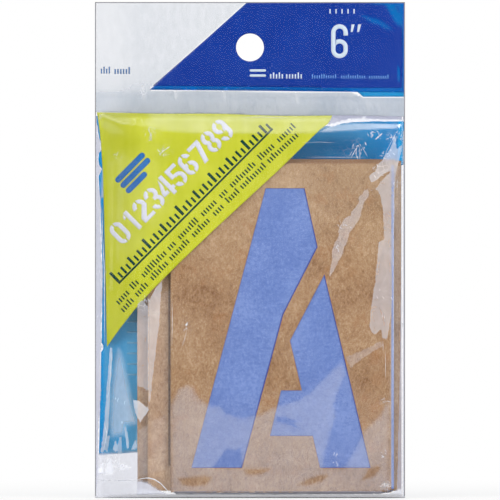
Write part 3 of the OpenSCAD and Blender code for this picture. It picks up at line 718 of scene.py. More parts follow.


# Whitish and grey patches painted on the front film, partly scuffed or crumpled film and partly painted
# reflections of the lamps in its wrinkles, with painted shade and painted light where noted: outline,
# strength, softness of the edge, and how dark
LOWER_GLARE_HAZE = [
    (171.5, 493), (171.5, 406), (179, 389.5), (187, 385.5), (193, 388), (198.5, 398), (211, 407), (219, 406),
    (226, 414), (243, 418), (262, 414), (278, 406), (300, 400.5), (310.5, 393), (332, 371), (342, 361.5),
    (345, 373), (341, 382), (335.5, 395), (333, 405), (334.5, 417), (330, 427.5), (329, 436), (323.5, 452.5),
    (322.5, 468), (344, 468), (353, 452.5), (360.5, 439.5), (364, 431), (381, 414.5), (385.5, 406),
    (389, 404), (388.5, 491)
]
VEILS = {
    # Painted reflections of the lamps in the wrinkles at the top right.
    "top spike": ([(394.4, 133.6), (395.7, 137), (395.5, 147.4), (397.4, 149), (399, 146.6), (402.2, 145.4),
      (401, 151), (399.6, 157), (398.2, 163), (396.8, 169), (395.4, 173), (391.5, 171.5), (387, 172),
      (382, 175), (376.8, 180), (371.2, 183.1), (368.9, 177), (369.6, 174.7), (375.8, 170.8), (377.3, 164.7),
      (381.9, 160.1), (384.2, 156.3), (388, 152.5), (391, 146), (392.3, 141)], 0.36, 0.7, 0),
    "right streak": ([(366.6, 188.5), (371.9, 190.8), (375.8, 188.5), (380.4, 181.6), (384.9, 177),
      (389.5, 173.1), (392.6, 170.8), (395.7, 173.9), (395.7, 181.6), (394.1, 190.8), (394.6, 212.2),
      (393.4, 232), (392.9, 258), (392.3, 288.8), (391.4, 311.7), (389.6, 322.5), (387.6, 337.8),
      (386, 339.3), (382.2, 337.8), (380.6, 328), (378.8, 331), (375, 334.7), (371.2, 331.6), (368.9, 325.5),
      (369.6, 320.9), (370.4, 310.2), (373.5, 288.8), (375.8, 270.4), (377.3, 255), (378, 241.8),
      (384.2, 240), (383.4, 229), (382.6, 210.7), (380.4, 196.9), (377.3, 190.8)], 0.31, 0.9, 0.06),
    "branch": ([(364.3, 190), (368.1, 190.8), (368.1, 196.9), (363.5, 203), (361.2, 212.2), (358.9, 220.6),
      (354.3, 226), (349.7, 232), (348.2, 239.8), (343.6, 247.4), (342.8, 253.5), (338.2, 261.2),
      (334.4, 269.6), (328.5, 279), (330.1, 267.3), (332.1, 258.1), (332.1, 250.5), (334.4, 242.8),
      (339, 235.2), (338.2, 230.6), (339.8, 226), (345.1, 217.6), (350.5, 215.3), (351.3, 212.2),
      (355.1, 207.6), (358.1, 203), (358.9, 196.9), (362, 193.8)], 0.23, 1.1, 0),
    # Painted reflections over the cards set back at the left.
    "left strip": ([(137.4, 304), (142, 301), (148.4, 306), (148.4, 392), (143, 387),
      (137.4, 386)], 0.34, 0.8, 0.14),
    "left strip foot": ([(133.4, 399.5), (139.7, 400.8), (149.3, 409), (140.4, 422.4),
      (135.3, 412)], 0.5, 0.7, 0),
    "left board": ([(149.4, 300), (154.5, 290), (162, 281), (161.5, 292), (160.8, 300), (159.5, 323),
      (156.3, 351), (152.5, 379), (150, 404.6), (148.6, 409), (148.6, 300)], 0.33, 0.8, 0),
    "lower glare haze": (LOWER_GLARE_HAZE, 0.15, 2.4, 0.05),
    "side fold": ([(345, 357), (362, 350), (380, 341), (384, 345), (365, 356), (350, 368)], 0.14, 1.4, 0),
    "panel rub and glare": ([(110, 347), (112.4, 347), (112.3, 360), (111.6, 373), (110.4, 385), (110.2, 400),
      (109, 420), (107.4, 437), (103.5, 452), (101, 453), (102.8, 438), (104.6, 420), (106, 400),
      (106.8, 386), (108.2, 373), (109, 360)], 0.42, 0.6, 0),
    "short rub and glare 1": ([(124.4, 426), (126.4, 426), (129.6, 447), (127, 449)], 0.4, 0.6, 0),
    "short rub and glare 2": ([(131, 449.5), (137, 437), (137, 449)], 0.36, 0.8, 0),
    "short rub and glare 3": ([(113, 449), (115.5, 440), (118, 447), (116.5, 453)], 0.42, 0.6, 0),
    "short rub and glare 4": ([(104, 449), (108, 434), (110, 436), (107.5, 452)], 0.34, 0.8, 0),
    "short rub and glare 5": ([(118, 453), (119, 436), (121.5, 437), (122, 453)], 0.3, 0.8, 0),
    "corner fold 1": ([(104, 474.5), (106.6, 459), (110.6, 457), (113.4, 468), (113.6, 474)], 0.9, 0.6, 0),
    "corner fold 2": ([(97.4, 474), (101, 463), (104, 461), (102.6, 474)], 0.86, 0.6, 0),
    "corner fold 3": ([(112.6, 458), (118, 461.4), (126, 470), (121, 470)], 0.86, 0.6, 0),
    "corner fold 4": ([(118, 461.6), (124, 463.4), (133, 468), (127, 469)], 0.8, 0.6, 0),
    "left seam": ([(96, 111.5), (96.4, 117), (97, 125), (98.6, 134), (100.6, 145), (101.8, 149.4), (99, 153),
      (98.4, 160), (99.4, 166), (102, 169), (98.6, 175), (99.9, 200), (101.4, 230), (102.6, 270),
      (102.3, 300), (101.6, 344), (103.2, 346.4), (101, 350), (100.4, 380), (99.8, 400), (99.3, 420),
      (98.8, 440), (98.4, 456), (96, 500), (90, 500), (90, 111.5)], 0.8, 0.4, 0.42),
    "left foot": ([(137.2, 480.5), (147, 482.5), (155.5, 488), (165, 493.6), (137.2, 495)], 0.85, 0.5, 0.25),
    # Painted light that lifts the shade on the right flank.
    "right seam": ([(400.8, 166), (410, 160), (410, 500), (396.8, 500), (397.6, 440), (398.8, 400),
      (399.8, 340), (400.6, 260)], 0.5, 0.4, 0.4),
    # Painted shadow: the dark line under the stack, along the pouch's foot.
    "foot shadow line": ([(174, 491.4), (220, 491.9), (300, 491.7), (380, 491), (388, 490.2), (393, 488.6),
      (393.8, 490.2), (388, 492.2), (380, 493.4), (270, 494.4), (176, 494.2)], 0.86, 0.42, 0.96),
    "right foot": ([(379.5, 487.6), (384, 483), (388.6, 481.4), (390.6, 484), (386, 486.2),
      (383, 488.4)], 0.3, 0.6, 0),
    "right seal": ([(335, 111), (405, 111), (405, 119.4), (386, 120.4), (373, 119.6), (364, 118.2),
      (352, 118.8), (343, 120.4), (333, 123.4), (327, 126)], 0.92, 0.4, 0.54),
    # A painted highlight along the seal's lower edge.
    "right seal edge": ([(327, 126), (333, 123.4), (343, 120.4), (352, 118.8), (364, 118.2), (373, 119.6),
      (386, 120.4), (405, 120.2), (405, 121.6), (386, 122), (372, 121.6), (364, 121.8), (352, 122.6),
      (342, 124), (332, 127.4)], 0.72, 0.36, 0.16),
    # A painted highlight along the right edge.
    "right glint": ([(402.6, 131), (404.8, 130), (404.8, 166), (402.9, 166)], 0.5, 0.4, 0.2),
}
# Soft hazes on the front film, partly its own haze and partly painted reflection of the lamps: outline,
# strength, softness of the edge, and how dark.
HAZES = {
    "lower glare haze": (LOWER_GLARE_HAZE, 0.215, 4.4, 0.05),
    "lower left": ([(171.5, 425), (185, 420), (200, 432), (196, 470), (171.5, 474)], 0.225, 12.0, 0.05),
    "panel": ([(119, 349), (116, 360), (113.5, 378), (111.5, 400), (110.5, 425), (112, 436), (124, 434),
      (126, 424), (136.8, 423), (134, 412), (130.5, 397), (126.5, 376.5), (122.5, 357)], 0.33, 5.0, 0),
    "lip": ([(96, 112), (136, 112), (200, 114), (336, 116), (336, 121), (96, 116)], 0.1, 1.6, 0),
    "left glint": ([(100.2, 168), (102, 168), (102.9, 198), (101.6, 198)], 0.5, 1.0, 0),
    # Painted highlight along the sheet's right edge.
    "right flank": ([(390.6, 168), (393.4, 168), (393.4, 300), (392.6, 486), (389, 486),
      (390.2, 300)], 0.22, 1.2, 0),
    # This and the three below are painted light that lifts the shade on the cards set back at the left and at
    # the right edge.
    "left strip": ([(137.4, 300), (171, 290), (171, 490), (137.4, 480)], 0.07, 1.0, 0),
    "board foot": ([(149, 420), (168, 412), (168, 470), (149, 476)], 0.14, 6.0, 0),
    "strip foot": ([(137.4, 430), (148.6, 424), (148.6, 476), (137.4, 476)], 0.18, 3.0, 0),
    "right edge": ([(393.4, 168), (401, 166), (400.2, 340), (397.6, 486), (392.4, 486),
      (393.2, 300)], 0.1, 1.0, 0),
    "panel foot": ([(103, 452), (136, 450), (136, 456), (103, 458)], 0.2, 3.0, 0),
    "bottom weld": ([(88, 454), (100, 453.6), (137.8, 451.8), (137.8, 479), (148, 481.5), (157, 488),
      (168, 493.4), (262, 494.6), (388, 493.4), (393, 492), (398, 487), (412, 486), (412, 502),
      (88, 502)], 0.52, 0.5, 0.3),
}
# Painted highlights: where glare adds the bright world's reflection to the film; outline, strength and
# softness of the edge.
GLARES = {
    "upper": ([(108, 117.5), (128, 118.4), (160, 118.4), (200, 118.8), (260, 119.6), (336, 121), (330, 127),
      (314, 133), (260, 133.6), (206, 133.6), (176, 131.6), (160, 129.4), (146, 126.4),
      (128, 122.4)], 0.085, 3.0),
    "upper core": ([(150, 117), (336, 119), (330, 124), (150, 122.5)], 0.11, 3.0),
    "upper foot": ([(160, 128), (206, 131.4), (262, 131.6), (314, 131.4), (311, 134), (204, 134),
      (160, 130.6)], 0.075, 1.0),
    "upper right": ([(320, 132), (330, 126.4), (342, 124.6), (352, 124.2), (366, 124), (384, 124.4),
      (396, 124.8), (402, 124.4), (400, 127.4), (394, 128.6), (376, 129.3), (362, 129.9), (345, 130.7),
      (330, 131.8)], 0.2, 0.9),
    "upper left": ([(98, 113), (106, 115), (114, 118.4), (122, 121.8), (134, 124), (134, 125.6), (121, 123.6),
      (112, 120.4), (103, 116.6)], 0.1, 0.8),
    "left line": ([(110.4, 162), (113, 162), (113.6, 230), (112.4, 290), (109.6, 290),
      (110.6, 230)], 0.03, 1.6),
    "second line": ([(118, 158), (124, 158), (123.4, 215), (119, 262), (116.4, 262), (117, 215)], 0.03, 2.0),
    "triangle": ([(112, 158), (126, 150), (150, 146), (166, 149), (160, 172), (172, 196), (160, 226),
      (138, 250), (122, 262), (114, 221)], 0.02, 9.0),
    "third line": ([(107, 150), (110, 150), (112, 240), (109, 240)], 0.018, 2.0),
    "lower half": ([(172, 406), (240, 400), (330, 380), (345, 372), (388, 404), (388, 490),
      (172, 490)], 0.014, 12.0),
    "corner": ([(99, 118), (111, 122), (124, 133), (112, 134), (101, 126)], 0.03, 3.0),
}
# Clearer places: outline and softness of the edge
CLEAR = {
    "foot left": ([(178, 478), (190, 476.5), (205, 475), (212, 477), (207, 484), (192, 486.5),
      (182, 484)], 2.8),
    "foot right": ([(298, 484), (308, 478), (322, 473.5), (328, 475), (322, 481), (308, 485)], 2.8),
    "letter foot": ([(212, 468), (226.5, 447), (234, 449.5), (241, 447), (243, 468)], 2.8),
    "beside the letter": ([(242, 468), (271, 468), (262, 474), (248, 475)], 2.8),
    "right corner": ([(361, 480), (368, 468), (379, 464.5), (381, 468), (374, 476)], 2.8),
    "crossbar": ([(277, 415.5), (284, 417), (283, 415), (300, 421), (294, 422.5), (301, 429), (288, 424),
      (276, 421)], 1.6),
}
# Small folds: column, row and radius, and one place where the lamp's reflection is painted out
CREASED = [
    (152, 133, 8), (165, 150, 7), (357, 143, 7), (349, 153, 7), (381, 167, 6), (396, 133, 9), (386, 486, 5),
    (337, 461, 4), (384, 402, 5), (187, 325, 4), (112, 463, 9), (144, 302, 6)]
DIMMED_GLINT = 138.5, 121.7
# Width of a veil's edge for a softness of 1, and how much haze goes in clearer places and over the cut-outs
VEIL_EDGE, CLEARED, CLEARED_CUTS = 2.8, 0.85, 0.17


def open_flank(x, y, z):
    """How clear the right flank is, between the front fold and the rear seam."""
    deep = -y / OUT
    middle = smooth(0.05, 0.16, deep) * (1 - smooth(0.84, 0.95, deep))
    return smooth(FOLD_R - 0.4, FOLD_R + 0.1, x) * middle * np.clip(0.82 + 0.25 * field(x, z, 14, 41), 0, 1)


def paint_front(ob):
    """Paints the haze, the rubbed patches and the light on the front film."""
    x, y, z = points_of(ob)
    mask, power, grey = 0 * x, 0 * x, 0 * x
    for corners, strength, soft, share in VEILS.values():
        m = patch(x, z, corners, VEIL_EDGE * soft)
        win = m * strength > mask * power
        mask, grey = np.where(win, m, mask), np.where(win, share, grey)
        power = np.where(win | (power == 0), strength, power)
    haze = 0.006 + 0.01 * (1 + field(x, z, 40, 21, 2))
    for corners, strength, soft, share in HAZES.values():
        m = strength * patch(x, z, corners, soft)
        grey = np.where((m > haze) & (m > mask * power), share, grey)
        haze = np.maximum(haze, m)
    for corners, soft in CLEAR.values():
        left = 1 - CLEARED * patch(x, z, corners, soft)
        mask, haze = mask * left, haze * left
    left = 1 - open_flank(x, y, z)
    mask, haze = mask * left, haze * left
    haze *= 1 - CLEARED_CUTS * inside(x, z, node_loops("card_A"))
    glare = 0 * x
    for corners, strength, soft in GLARES.values():
        glare = np.maximum(glare, strength * patch(x, z, corners, soft))
    # Painted out: near the lip's left corner the lamp's reflection is made darker and duller.
    grey = np.maximum(grey, spots(x, z, [(*DIMMED_GLINT, 11)]))
    glare *= 1 - 0.92 * spots(x, z, [(*DIMMED_GLINT, 7)])
    paint(ob, veil=mask, power=power, haze=haze, grey=grey, glare=glare * (1 + 0.25 * field(x, z, 9, 33)),
          crease=spots(x, z, CREASED))


paint_front(front_film())


# Print
def printed(name, loops, surf, depth, mat, step=1.2, grid=True):
    """Ink that fills the loops, depth millimetres behind a surface."""
    ob = lay(name, *mesh_in(loops, step, grid), surf, depth, depth + INK, [mat])
    return ob


def diag(a, n):
    """The place a pixels along the triangle's slope and n above it. The rows bow with the film."""
    root = math.sqrt(2)
    n += 6.0 * (1 - (a / 170) ** 2) * min(max((-n - 240) / 81, 0), 1)
    return at((a - n) / root, (-a - n) / root)


def slanted(points):
    return [diag(*p) for p in points]


def arc(x, y, r, start, end, cuts=20):
    """Points on an arc, y down, from one angle in degrees to another."""
    turns = (math.radians(start + (end - start) * i / cuts) for i in range(cuts + 1))
    return [(x + r * math.cos(t), y - r * math.sin(t)) for t in turns]


def pill(start, end, y, r):
    """A bar with round ends."""
    return arc(start + r, y, r, -90, -270, 6) + arc(end - r, y, r, 90, -90, 6)


def bar(x0, x1, y0, y1):
    return [(x0, y0), (x1, y0), (x1, y1), (x0, y1)]


def dashes(start, end, foot, high, wide, gap):
    """Upright dashes from start to end along a row, some of them taller."""
    out = []
    while start + wide <= end + 0.01:
        out.append(bar(start, start + wide, foot, foot + high * random.choice((1, 1, 1, 1.4))))
        start += wide + gap
    return out


# The header's band of deep blue, the blue under it, and what shows of the blue behind them
BAND = [
    (247.5, 3), (384, 3), (398, 6.5), (400.5, 14), (402.4, 30), (403, 60), (402, 88), (368, 88),
    (352.8, 88), (152.6, 85.8)]
BAND_UNDER = [(246.2, 3), (404, 3), (404, 92.4), (149.6, 89.8)]
BAND_BEHIND = [(353, 88), (404, 88), (404, 96.8), (363, 96.8)]
# Where the deep blue is painted paler as a sheen along the film's folds at the top right, and where it stays
# deep
SHEEN_CORNER = [(384, 2), (404, 2), (404, 27), (398, 25), (394, 20), (391, 14), (387, 7)]
SHEEN_FOLD = [
    (361.5, 15.5), (366, 16.5), (372, 18.4), (378, 19.8), (383, 22.5), (392, 29), (387, 29), (383, 27.5),
    (380, 24.5), (373, 23), (368, 20)]
SHEEN_TOP = [(362, 1), (404, 1), (404, 4.8), (384, 4.8)]
SHEEN_GAP = [(395, 6), (402, 5), (402, 12), (399, 13)]


def header_band():
    """The header's printed band, with a painted sheen at its top right corner."""
    band = printed("print_band", [places(BAND), hole], flat_y, -0.11, DEEP)
    x, _, z = points_of(band)
    worn = np.maximum(0.9 * patch(x, z, SHEEN_CORNER, 2.6), 0.75 * patch(x, z, SHEEN_FOLD, 2.4))
    worn *= 1 - 0.7 * patch(x, z, SHEEN_GAP, 2.4)
    paint(band, worn=np.maximum(worn, 0.8 * patch(x, z, SHEEN_TOP, 1.4)))
    printed("print_band_under", [places(BAND_UNDER), hole], flat_y, -0.08, CYAN, 2.0)
    printed("print_band_behind", [places(BAND_BEHIND)], flat_y, 0.05, SKY, 2.0)


# The triangle: the columns of its upper edge, its slope and its left edge
TRIANGLE_START, TRIANGLE_END = 96.9, 338.2
TRIANGLE_SLOPE = [
    (332.6, 120.5), (320, 130), (309.5, 140), (279, 170), (246.5, 200), (214, 230), (182.5, 260),
    (152.4, 290), (134.5, 310), (119, 330), (107, 346.8)]
TRIANGLE_LEFT = [
    (106.5, 330), (106, 300), (105, 255), (103.6, 200), (102.5, 170), (101.2, 148), (99.5, 130), (98, 119.6)]


def triangle():
    """The triangle printed below the pouch's lip."""
    ends = at(TRIANGLE_START, 0)[0], at(TRIANGLE_END, 0)[0]
    upper = [(x, float(lip_z(x)) - 0.12) for x in np.linspace(*ends, 40)]
    loop = upper + places(TRIANGLE_SLOPE + TRIANGLE_LEFT)
    printed("print_triangle", [loop], film_y, 0.1, LIME)


# Rows on the triangle are placed by pixels along its slope and above it.
NUMERALS_START, NUMERALS_FOOT, NUMERAL_STEP, NUMERAL_HIGH, NUMERAL_WIDER = -87.5, -262.6, 16.05, 24.7, 1.02


def numerals():
    """A row of stencil numerals, cut from the set's own characters."""
    row = []
    for k, digit in enumerate("0123456789"):
        loops = node_loops("card_" + digit)
        x0, z0 = np.vstack(loops).min(axis=0)
        x1, z1 = np.vstack(loops).max(axis=0)
        size = NUMERAL_HIGH / (z1 - z0)
        middle, cx = NUMERALS_START + NUMERAL_STEP * (k + 0.5), (x0 + x1) / 2
        wider = size * NUMERAL_WIDER
        for loop in loops:
            row.append(slanted((middle + (x - cx) * wider, NUMERALS_FOOT + (z - z0) * size) for x, z in loop))
    printed("print_numerals", row, film_y, 0.06, WHITE)


# The rule's ticks: every how many eighths, height and half width
TICKS = ((8, 13.0, 1.5), (4, 11.0, 1.35), (2, 9.0, 1.2), (1, 7.2, 1.1))
RULE_START, RULE_FOOT, RULE_LENGTH = -115, -285.0, 219


def rule():
    """A rule in eighths of an inch along the slope."""
    loops, eighth = [], INCH / 8 / PX
    count = int(RULE_LENGTH / eighth)
    for k in range(count + 1):
        high, half = next((h, w) for every, h, w in TICKS if k % every == 0)
        a = RULE_START + k * eighth
        loops.append(bar(a - half, a + half, RULE_FOOT, RULE_FOOT + high))
    half, end = TICKS[0][2], RULE_START + count * eighth
    loops.append(bar(RULE_START - half, end + half, RULE_FOOT - 2.2, RULE_FOOT - 0.2))
    printed("print_rule", [slanted(loop) for loop in loops], film_y, 0.06, GREEN, grid=False)


# Rows of dashes under the rule: start, foot and the shares of its groups
ROWS = [
    (-131, -302.0, (14, 10, 28, 9, 24, 18, 9, 30, 18, 19)),
    (-133, -310.8, (13, 14, 18, 22, 20, 11, 12, 26, 33)),
]
ROW_LONG, GROUP_GAP = 250, 4.6


def dash_rows():
    """The two rows of dashes under the rule."""
    loops = []
    for start, foot, shares in ROWS:
        scale = (ROW_LONG - GROUP_GAP * (len(shares) - 1)) / sum(shares)
        for share in shares:
            loops += [slanted(loop) for loop in dashes(start, start + share * scale, foot, 5.0, 1.5, 1.9)]
            start += share * scale + GROUP_GAP
    printed("print_lines", loops, film_y, 0.06, GREEN, grid=False)


header_band()
triangle()
numerals()
rule()
dash_rows()

# Fine whitened creases in the film, some of them painted highlights along the seal and the cards' edges:
# points in the frame and the greatest width in millimetres
CREASES = [
    ([(137, 479.4), (143, 477.8), (149, 477.4), (155, 479), (161, 483), (166.5, 488.8), (170.5, 492.4)], 0.6),
    ([(96, 480.5), (110, 480), (125, 480.2), (137, 479.4)], 0.5),
    ([(148.5, 128), (150.5, 134), (152.5, 140.5)], 0.36), ([(170, 147), (164, 150.8), (159, 155.5)], 0.42),
    ([(370, 133.6), (372, 132), (375.4, 133)], 0.4), ([(370.6, 134.8), (373.4, 135.2)], 0.3),
    ([(375, 139.8), (378.5, 136.8), (382, 133.6)], 0.8), ([(357.5, 146.5), (354, 152), (351, 158)], 0.34),
    ([(359.4, 147), (359.7, 153), (359.4, 158.5)], 0.3), ([(361, 146), (364, 151), (367, 156.5)], 0.22),
    ([(364.5, 142), (366, 145.6)], 0.4), ([(352.5, 150.5), (349, 157)], 0.2),
    ([(356, 148), (356.2, 158)], 0.22),
    ([(333, 124.6), (343, 121.2), (352, 119.4), (364, 118.6), (373, 119.8), (386, 120.6), (403, 120.4)], 0.3),
    ([(302, 143), (318, 142.3), (335, 143)], 0.13), ([(306, 157.3), (365, 157.5)], 0.16),
    ([(396, 133), (391, 142), (386, 152), (382, 163)], 0.2), ([(172.3, 300), (172.6, 322), (172, 345)], 0.2),
    ([(187.5, 322), (186.3, 326)], 0.6), ([(187, 330), (184.5, 340), (182, 346)], 0.16),
    ([(112, 456), (107, 463), (104, 472)], 0.4), ([(113, 456), (118, 466), (121, 470)], 0.26),
    ([(100.5, 345), (102.8, 347)], 0.9), ([(110.5, 346), (111.5, 360), (109, 392), (107, 398)], 0.26),
    ([(104.5, 424), (107, 434), (103, 452)], 0.3), ([(385, 350), (385.3, 366), (385, 378)], 0.16),
    ([(382.5, 341), (383, 350)], 0.2), ([(148.6, 300), (148.3, 350), (148.6, 396)], 0.16),
    ([(240, 118), (262, 117.4), (290, 118.3)], 0.18),
    ([(101.8, 205), (102.6, 235), (104.2, 265), (104.4, 300), (104.8, 344)], 0.42),
    ([(401.4, 170), (401.2, 300), (400.4, 420)], 0.24), ([(393.5, 180), (393.2, 300), (392.6, 420)], 0.14),
]
# Small crinkles: centre, reach, how many, main direction in degrees and its spread
CRINKLES = [
    (150, 134, 7, 16, 70, 40), (164, 151, 6, 14, 130, 40), (118, 155, 5, 5, 60, 50), (100, 119, 4, 6, 20, 40),
    (371, 134, 5, 6, 20, 60), (357, 151, 8, 18, 70, 40), (379, 135, 4, 5, 140, 20),
    (393, 137, 7, 14, 120, 50), (387, 155, 8, 12, 120, 40), (378, 172, 7, 9, 130, 40),
    (394, 183, 5, 6, 120, 40), (187, 328, 4, 4, 80, 30), (112, 462, 9, 16, 110, 60),
    (386, 486, 6, 14, 60, 70), (384, 453, 4, 5, 20, 60), (336, 453, 3, 4, 50, 60), (336, 462, 3, 4, 20, 60),
    (385, 401, 4, 5, 40, 60), (101, 290, 40, 6, 90, 6), (118, 400, 30, 5, 88, 8), (345, 224, 8, 6, 120, 20),
    (338, 250, 6, 5, 110, 20), (384, 300, 20, 6, 95, 15), (145, 300, 5, 7, 40, 60), (400, 140, 8, 8, 100, 40),
]
FIRST_COLUMN, LAST_COLUMN = 98, 401.5


def crinkle(px, py, reach, turn, spread):
    """One short crease near a place, kept within the pouch."""
    r, t = reach * random.random() ** 0.7, random.uniform(0, 2 * math.pi)
    x = min(max(px + r * math.cos(t) * min(1, 9 / reach), FIRST_COLUMN), LAST_COLUMN)
    y = py + r * math.sin(t)
    t, far = math.radians(random.gauss(turn, spread)), random.uniform(1.2, 4.5)
    dx, dy, bend = far * math.cos(t), -far * math.sin(t), random.uniform(-0.5, 0.5)
    points = [(x - dx / 2, y - dy / 2), (x + bend, y + bend), (x + dx / 2, y + dy / 2)]
    return points, random.uniform(0.12, 0.3)


def sliver(points, width):
    """A tapered strip along frame points, as one loop."""
    p = np.array(places(points))
    cut = np.linspace(0, len(p) - 1, 4 * len(p))
    p = np.column_stack([np.interp(cut, range(len(p)), p[:, k]) for k in (0, 1)])
    d = np.gradient(p, axis=0)
    n = np.column_stack([-d[:, 1], d[:, 0]]) / np.hypot(d[:, 0], d[:, 1])[:, None]
    uneven = np.array([random.uniform(0.75, 1.15) for _ in p])
    w = width / 2 * (0.12 + 0.88 * np.sin(np.pi * np.linspace(0, 1, len(p))) ** 0.7) * uneven
    return [tuple(q) for q in p + n * w[:, None]] + [tuple(q) for q in (p - n * w[:, None])[::-1]]


def creases():
    """All creases as one piece on the front film."""
    for px, py, reach, count, turn, spread in CRINKLES:
        CREASES.extend(crinkle(px, py, reach, turn, spread) for _ in range(count))
    pts, faces, base = [], [], 0
    for points, width in CREASES:
        more, f = mesh_in([sliver(points, width)], 1.0, False)
        pts.append(more)
        faces += [tuple(i + base for i in t) for t in f]
        base += len(more)
    ob = lay("bag_film_creases", np.vstack(pts), faces, film_y, -0.03, 0.01, [whitened_film("film_whitened")])


creases()

# The slanted mark: its middle, then the ends and the row of each bar from there
MARK_MIDDLE = 134.5, 172
MARK_BARS = (-20, 20, 6), (-20, 20, -1.5), (-20, 8, -9)


def slanted_mark():
    """Three plain blue bars along the slope."""
    px, py = MARK_MIDDLE
    a, n = (px - py) / math.sqrt(2), -(px + py) / math.sqrt(2)
    bars = [slanted(pill(a + start, a + end, n + up, 3.0)) for start, end, up in MARK_BARS]
    printed("print_mark", bars, film_y, 0.06, MARK)


# The size on the header: the middle column, top, width, height and stroke of a 6, and two inch strokes
SIX = 339.5, 24.2, 16.6, 34, 4.3
INCH_STROKE = [(351.5, 24.4), (354.6, 24.4), (352.6, 32), (350.6, 32)]
INCH_STEP = 6.5
# Dashes on the header: start, end, foot, height, width of a dash and gap. Bars: start, end, row and radius
HEADER_LINES = [
    (329.4, 355, 13.6, 4.6, 1.3, 4.7), (270, 283, 78.6, 4.4, 1.4, 1.5), (286, 303.6, 78.6, 4.4, 1.4, 1.5)]
HEADER_FINE = [(312, 337, 78.4, 3, 1, 1.3), (341, 366, 78.6, 3, 1, 1.3), (369, 390, 78.8, 3, 1, 1.3)]
HEADER_MARK = [(100.8, 111, 73.6, 5.0, 1.4, 1.2), (114.4, 131, 74.0, 5.0, 1.6, 1.2)]
HEADER_BARS = [(249.6, 266, 70.5, 1.2), (249.6, 266, 75.6, 1.2)]


def glyph_six(cx, top, wide, high, stroke):
    """A narrow 6 out of two loops: its outline and its counter."""
    r = wide / 2
    hollow = r - stroke
    bowl = top + high - high * 0.56 + r
    outline = arc(cx, top + r, r, 0, 180) + arc(cx, top + high - r, r, 180, 360)
    outline += arc(cx, bowl, r, 0, 120)[:-1] + [(cx - hollow, bowl - 0.5)] + arc(cx, top + r, hollow, 180, 0)
    outline += [(cx + hollow, top + r + 3), (cx + r, top + r + 3)]
    counter = arc(cx, bowl, hollow, 0, 180) + arc(cx, top + high - r, hollow, 180, 360)
    return [places(outline), places(counter)]


def flat_dashes(rows):
    out = []
    for start, end, foot, *dash in rows:
        out += [[at(x, -y) for x, y in loop] for loop in dashes(start, end, -foot, *dash)]
    return out


def header_print():
    """The size and the plain lines on the header."""
    strokes = [places([(x + shift, y) for x, y in INCH_STROKE]) for shift in (0, INCH_STEP)]
    bars = [places(pill(*values)) for values in HEADER_BARS]
    for name, loops, mat in (
            ("print_six", glyph_six(*SIX) + strokes, PALE),
            ("print_header_lines", flat_dashes(HEADER_LINES) + bars, PALE),
            ("print_header_fine", flat_dashes(HEADER_FINE), FAINT),
            ("print_header_mark", flat_dashes(HEADER_MARK), MARK)):
        printed(name, loops, flat_y, -0.135, mat, grid=False)


slanted_mark()
header_print()

# The back panel's edges, and the rows that show through on it
PANEL_LEFT = [
    (98.9, 455), (99.3, 440), (99.7, 420), (100, 400), (100.6, 375), (101.1, 352), (103, 349.4),
    (103.2, 345.4), (101.6, 343), (102.2, 300), (102.5, 270), (101.4, 230), (99.9, 200), (98.6, 176),
    (101.9, 169), (99.4, 166), (98.3, 160), (98.9, 153), (101.7, 149.5), (100.5, 145), (98.5, 134),
    (96.9, 125), (96.3, 116)
]
PANEL_TOP = [
    (300, 120.4), (322, 126), (332, 126), (341, 123.4), (352, 122.2), (364, 121.8), (373, 121.2),
    (396, 121.4), (404, 120.4)
]
PANEL_RIGHT = [(404, 164.4), (400.0, 166), (399.6, 300), (396.4, 420), (395, 452)]
PANEL_FOOT = [(300, 452), (137, 452.5)]
BACK_ROWS, BACK_ROW_TOP, BACK_ROW_STEP, BACK_START, BACK_END = 17, 205, 10.6, 127.0, 385
BARE_ROWS = (4, 10)


def back_print():
    """The blue panel on the rear ply and plain rows on it."""
    outline = places(PANEL_TOP + PANEL_RIGHT + PANEL_FOOT + PANEL_LEFT)
    printed("print_back_panel", [outline], flat_y, 0.05, panel_ink_and_shade("ink_back_panel"), 2.4)
    lines = []
    for k in range(BACK_ROWS):
        start = BACK_START
        for wide in [random.uniform(14, 40) for _ in range(9)]:
            if start + wide > BACK_END:
                break
            if k not in BARE_ROWS:
                lines.append(places(pill(start, start + wide, BACK_ROW_TOP + k * BACK_ROW_STEP, 0.9)))
            start += wide + 5
    printed("print_back_lines", lines, flat_y, 0.03, BACK_LINES, 2.4, False)


back_print()

# Cards and sheet: three cards have a tone of their own, and the others take turns
TONES = (-11, -6, 4, -10, -3, 12, -2)
# card_M's lighter tone is painted light, against the shade it stands in behind the front card.
OWN_TONE = {"card_A": 0, "card_M": 5, "card_W": 6}
# The painted shade strip in the front card's cut-outs, for the shadow the cut throws on the sheet: its
# widths, and how far before the card's rear it starts and ends
RIM, RIM_WIDER, RIM_NEAR, RIM_FAR = 0.16, 0.42, 0.08, 0.02


def dress(node, mat):
    slots = NODES[node].data.materials
    slots.clear()
    slots.append(mat)


def rim_inside(loop, turn):
    """The loop moved inwards, further where its edge faces up or left."""
    sides = []
    for (x0, z0), (x1, z1) in pairs(loop):
        d = math.hypot(x1 - x0, z1 - z0)
        nx, nz = -turn * (z1 - z0) / d, turn * (x1 - x0) / d
        sides.append((nx, nz, RIM + RIM_WIDER * max(0.0, -nx * 0.9 + nz * 0.45)))
    rim = []
    for i, (x, z) in enumerate(loop):
        (ax, az, a_wide), (bx, bz, b_wide) = sides[i - 1], sides[i]
        det = ax * bz - az * bx
        if abs(det) < 0.05:
            rim.append((x + bx * b_wide, z + bz * b_wide))
        else:
            rim.append((x + (a_wide * bz - b_wide * az) / det, z + (b_wide * ax - a_wide * bx) / det))
    return rim


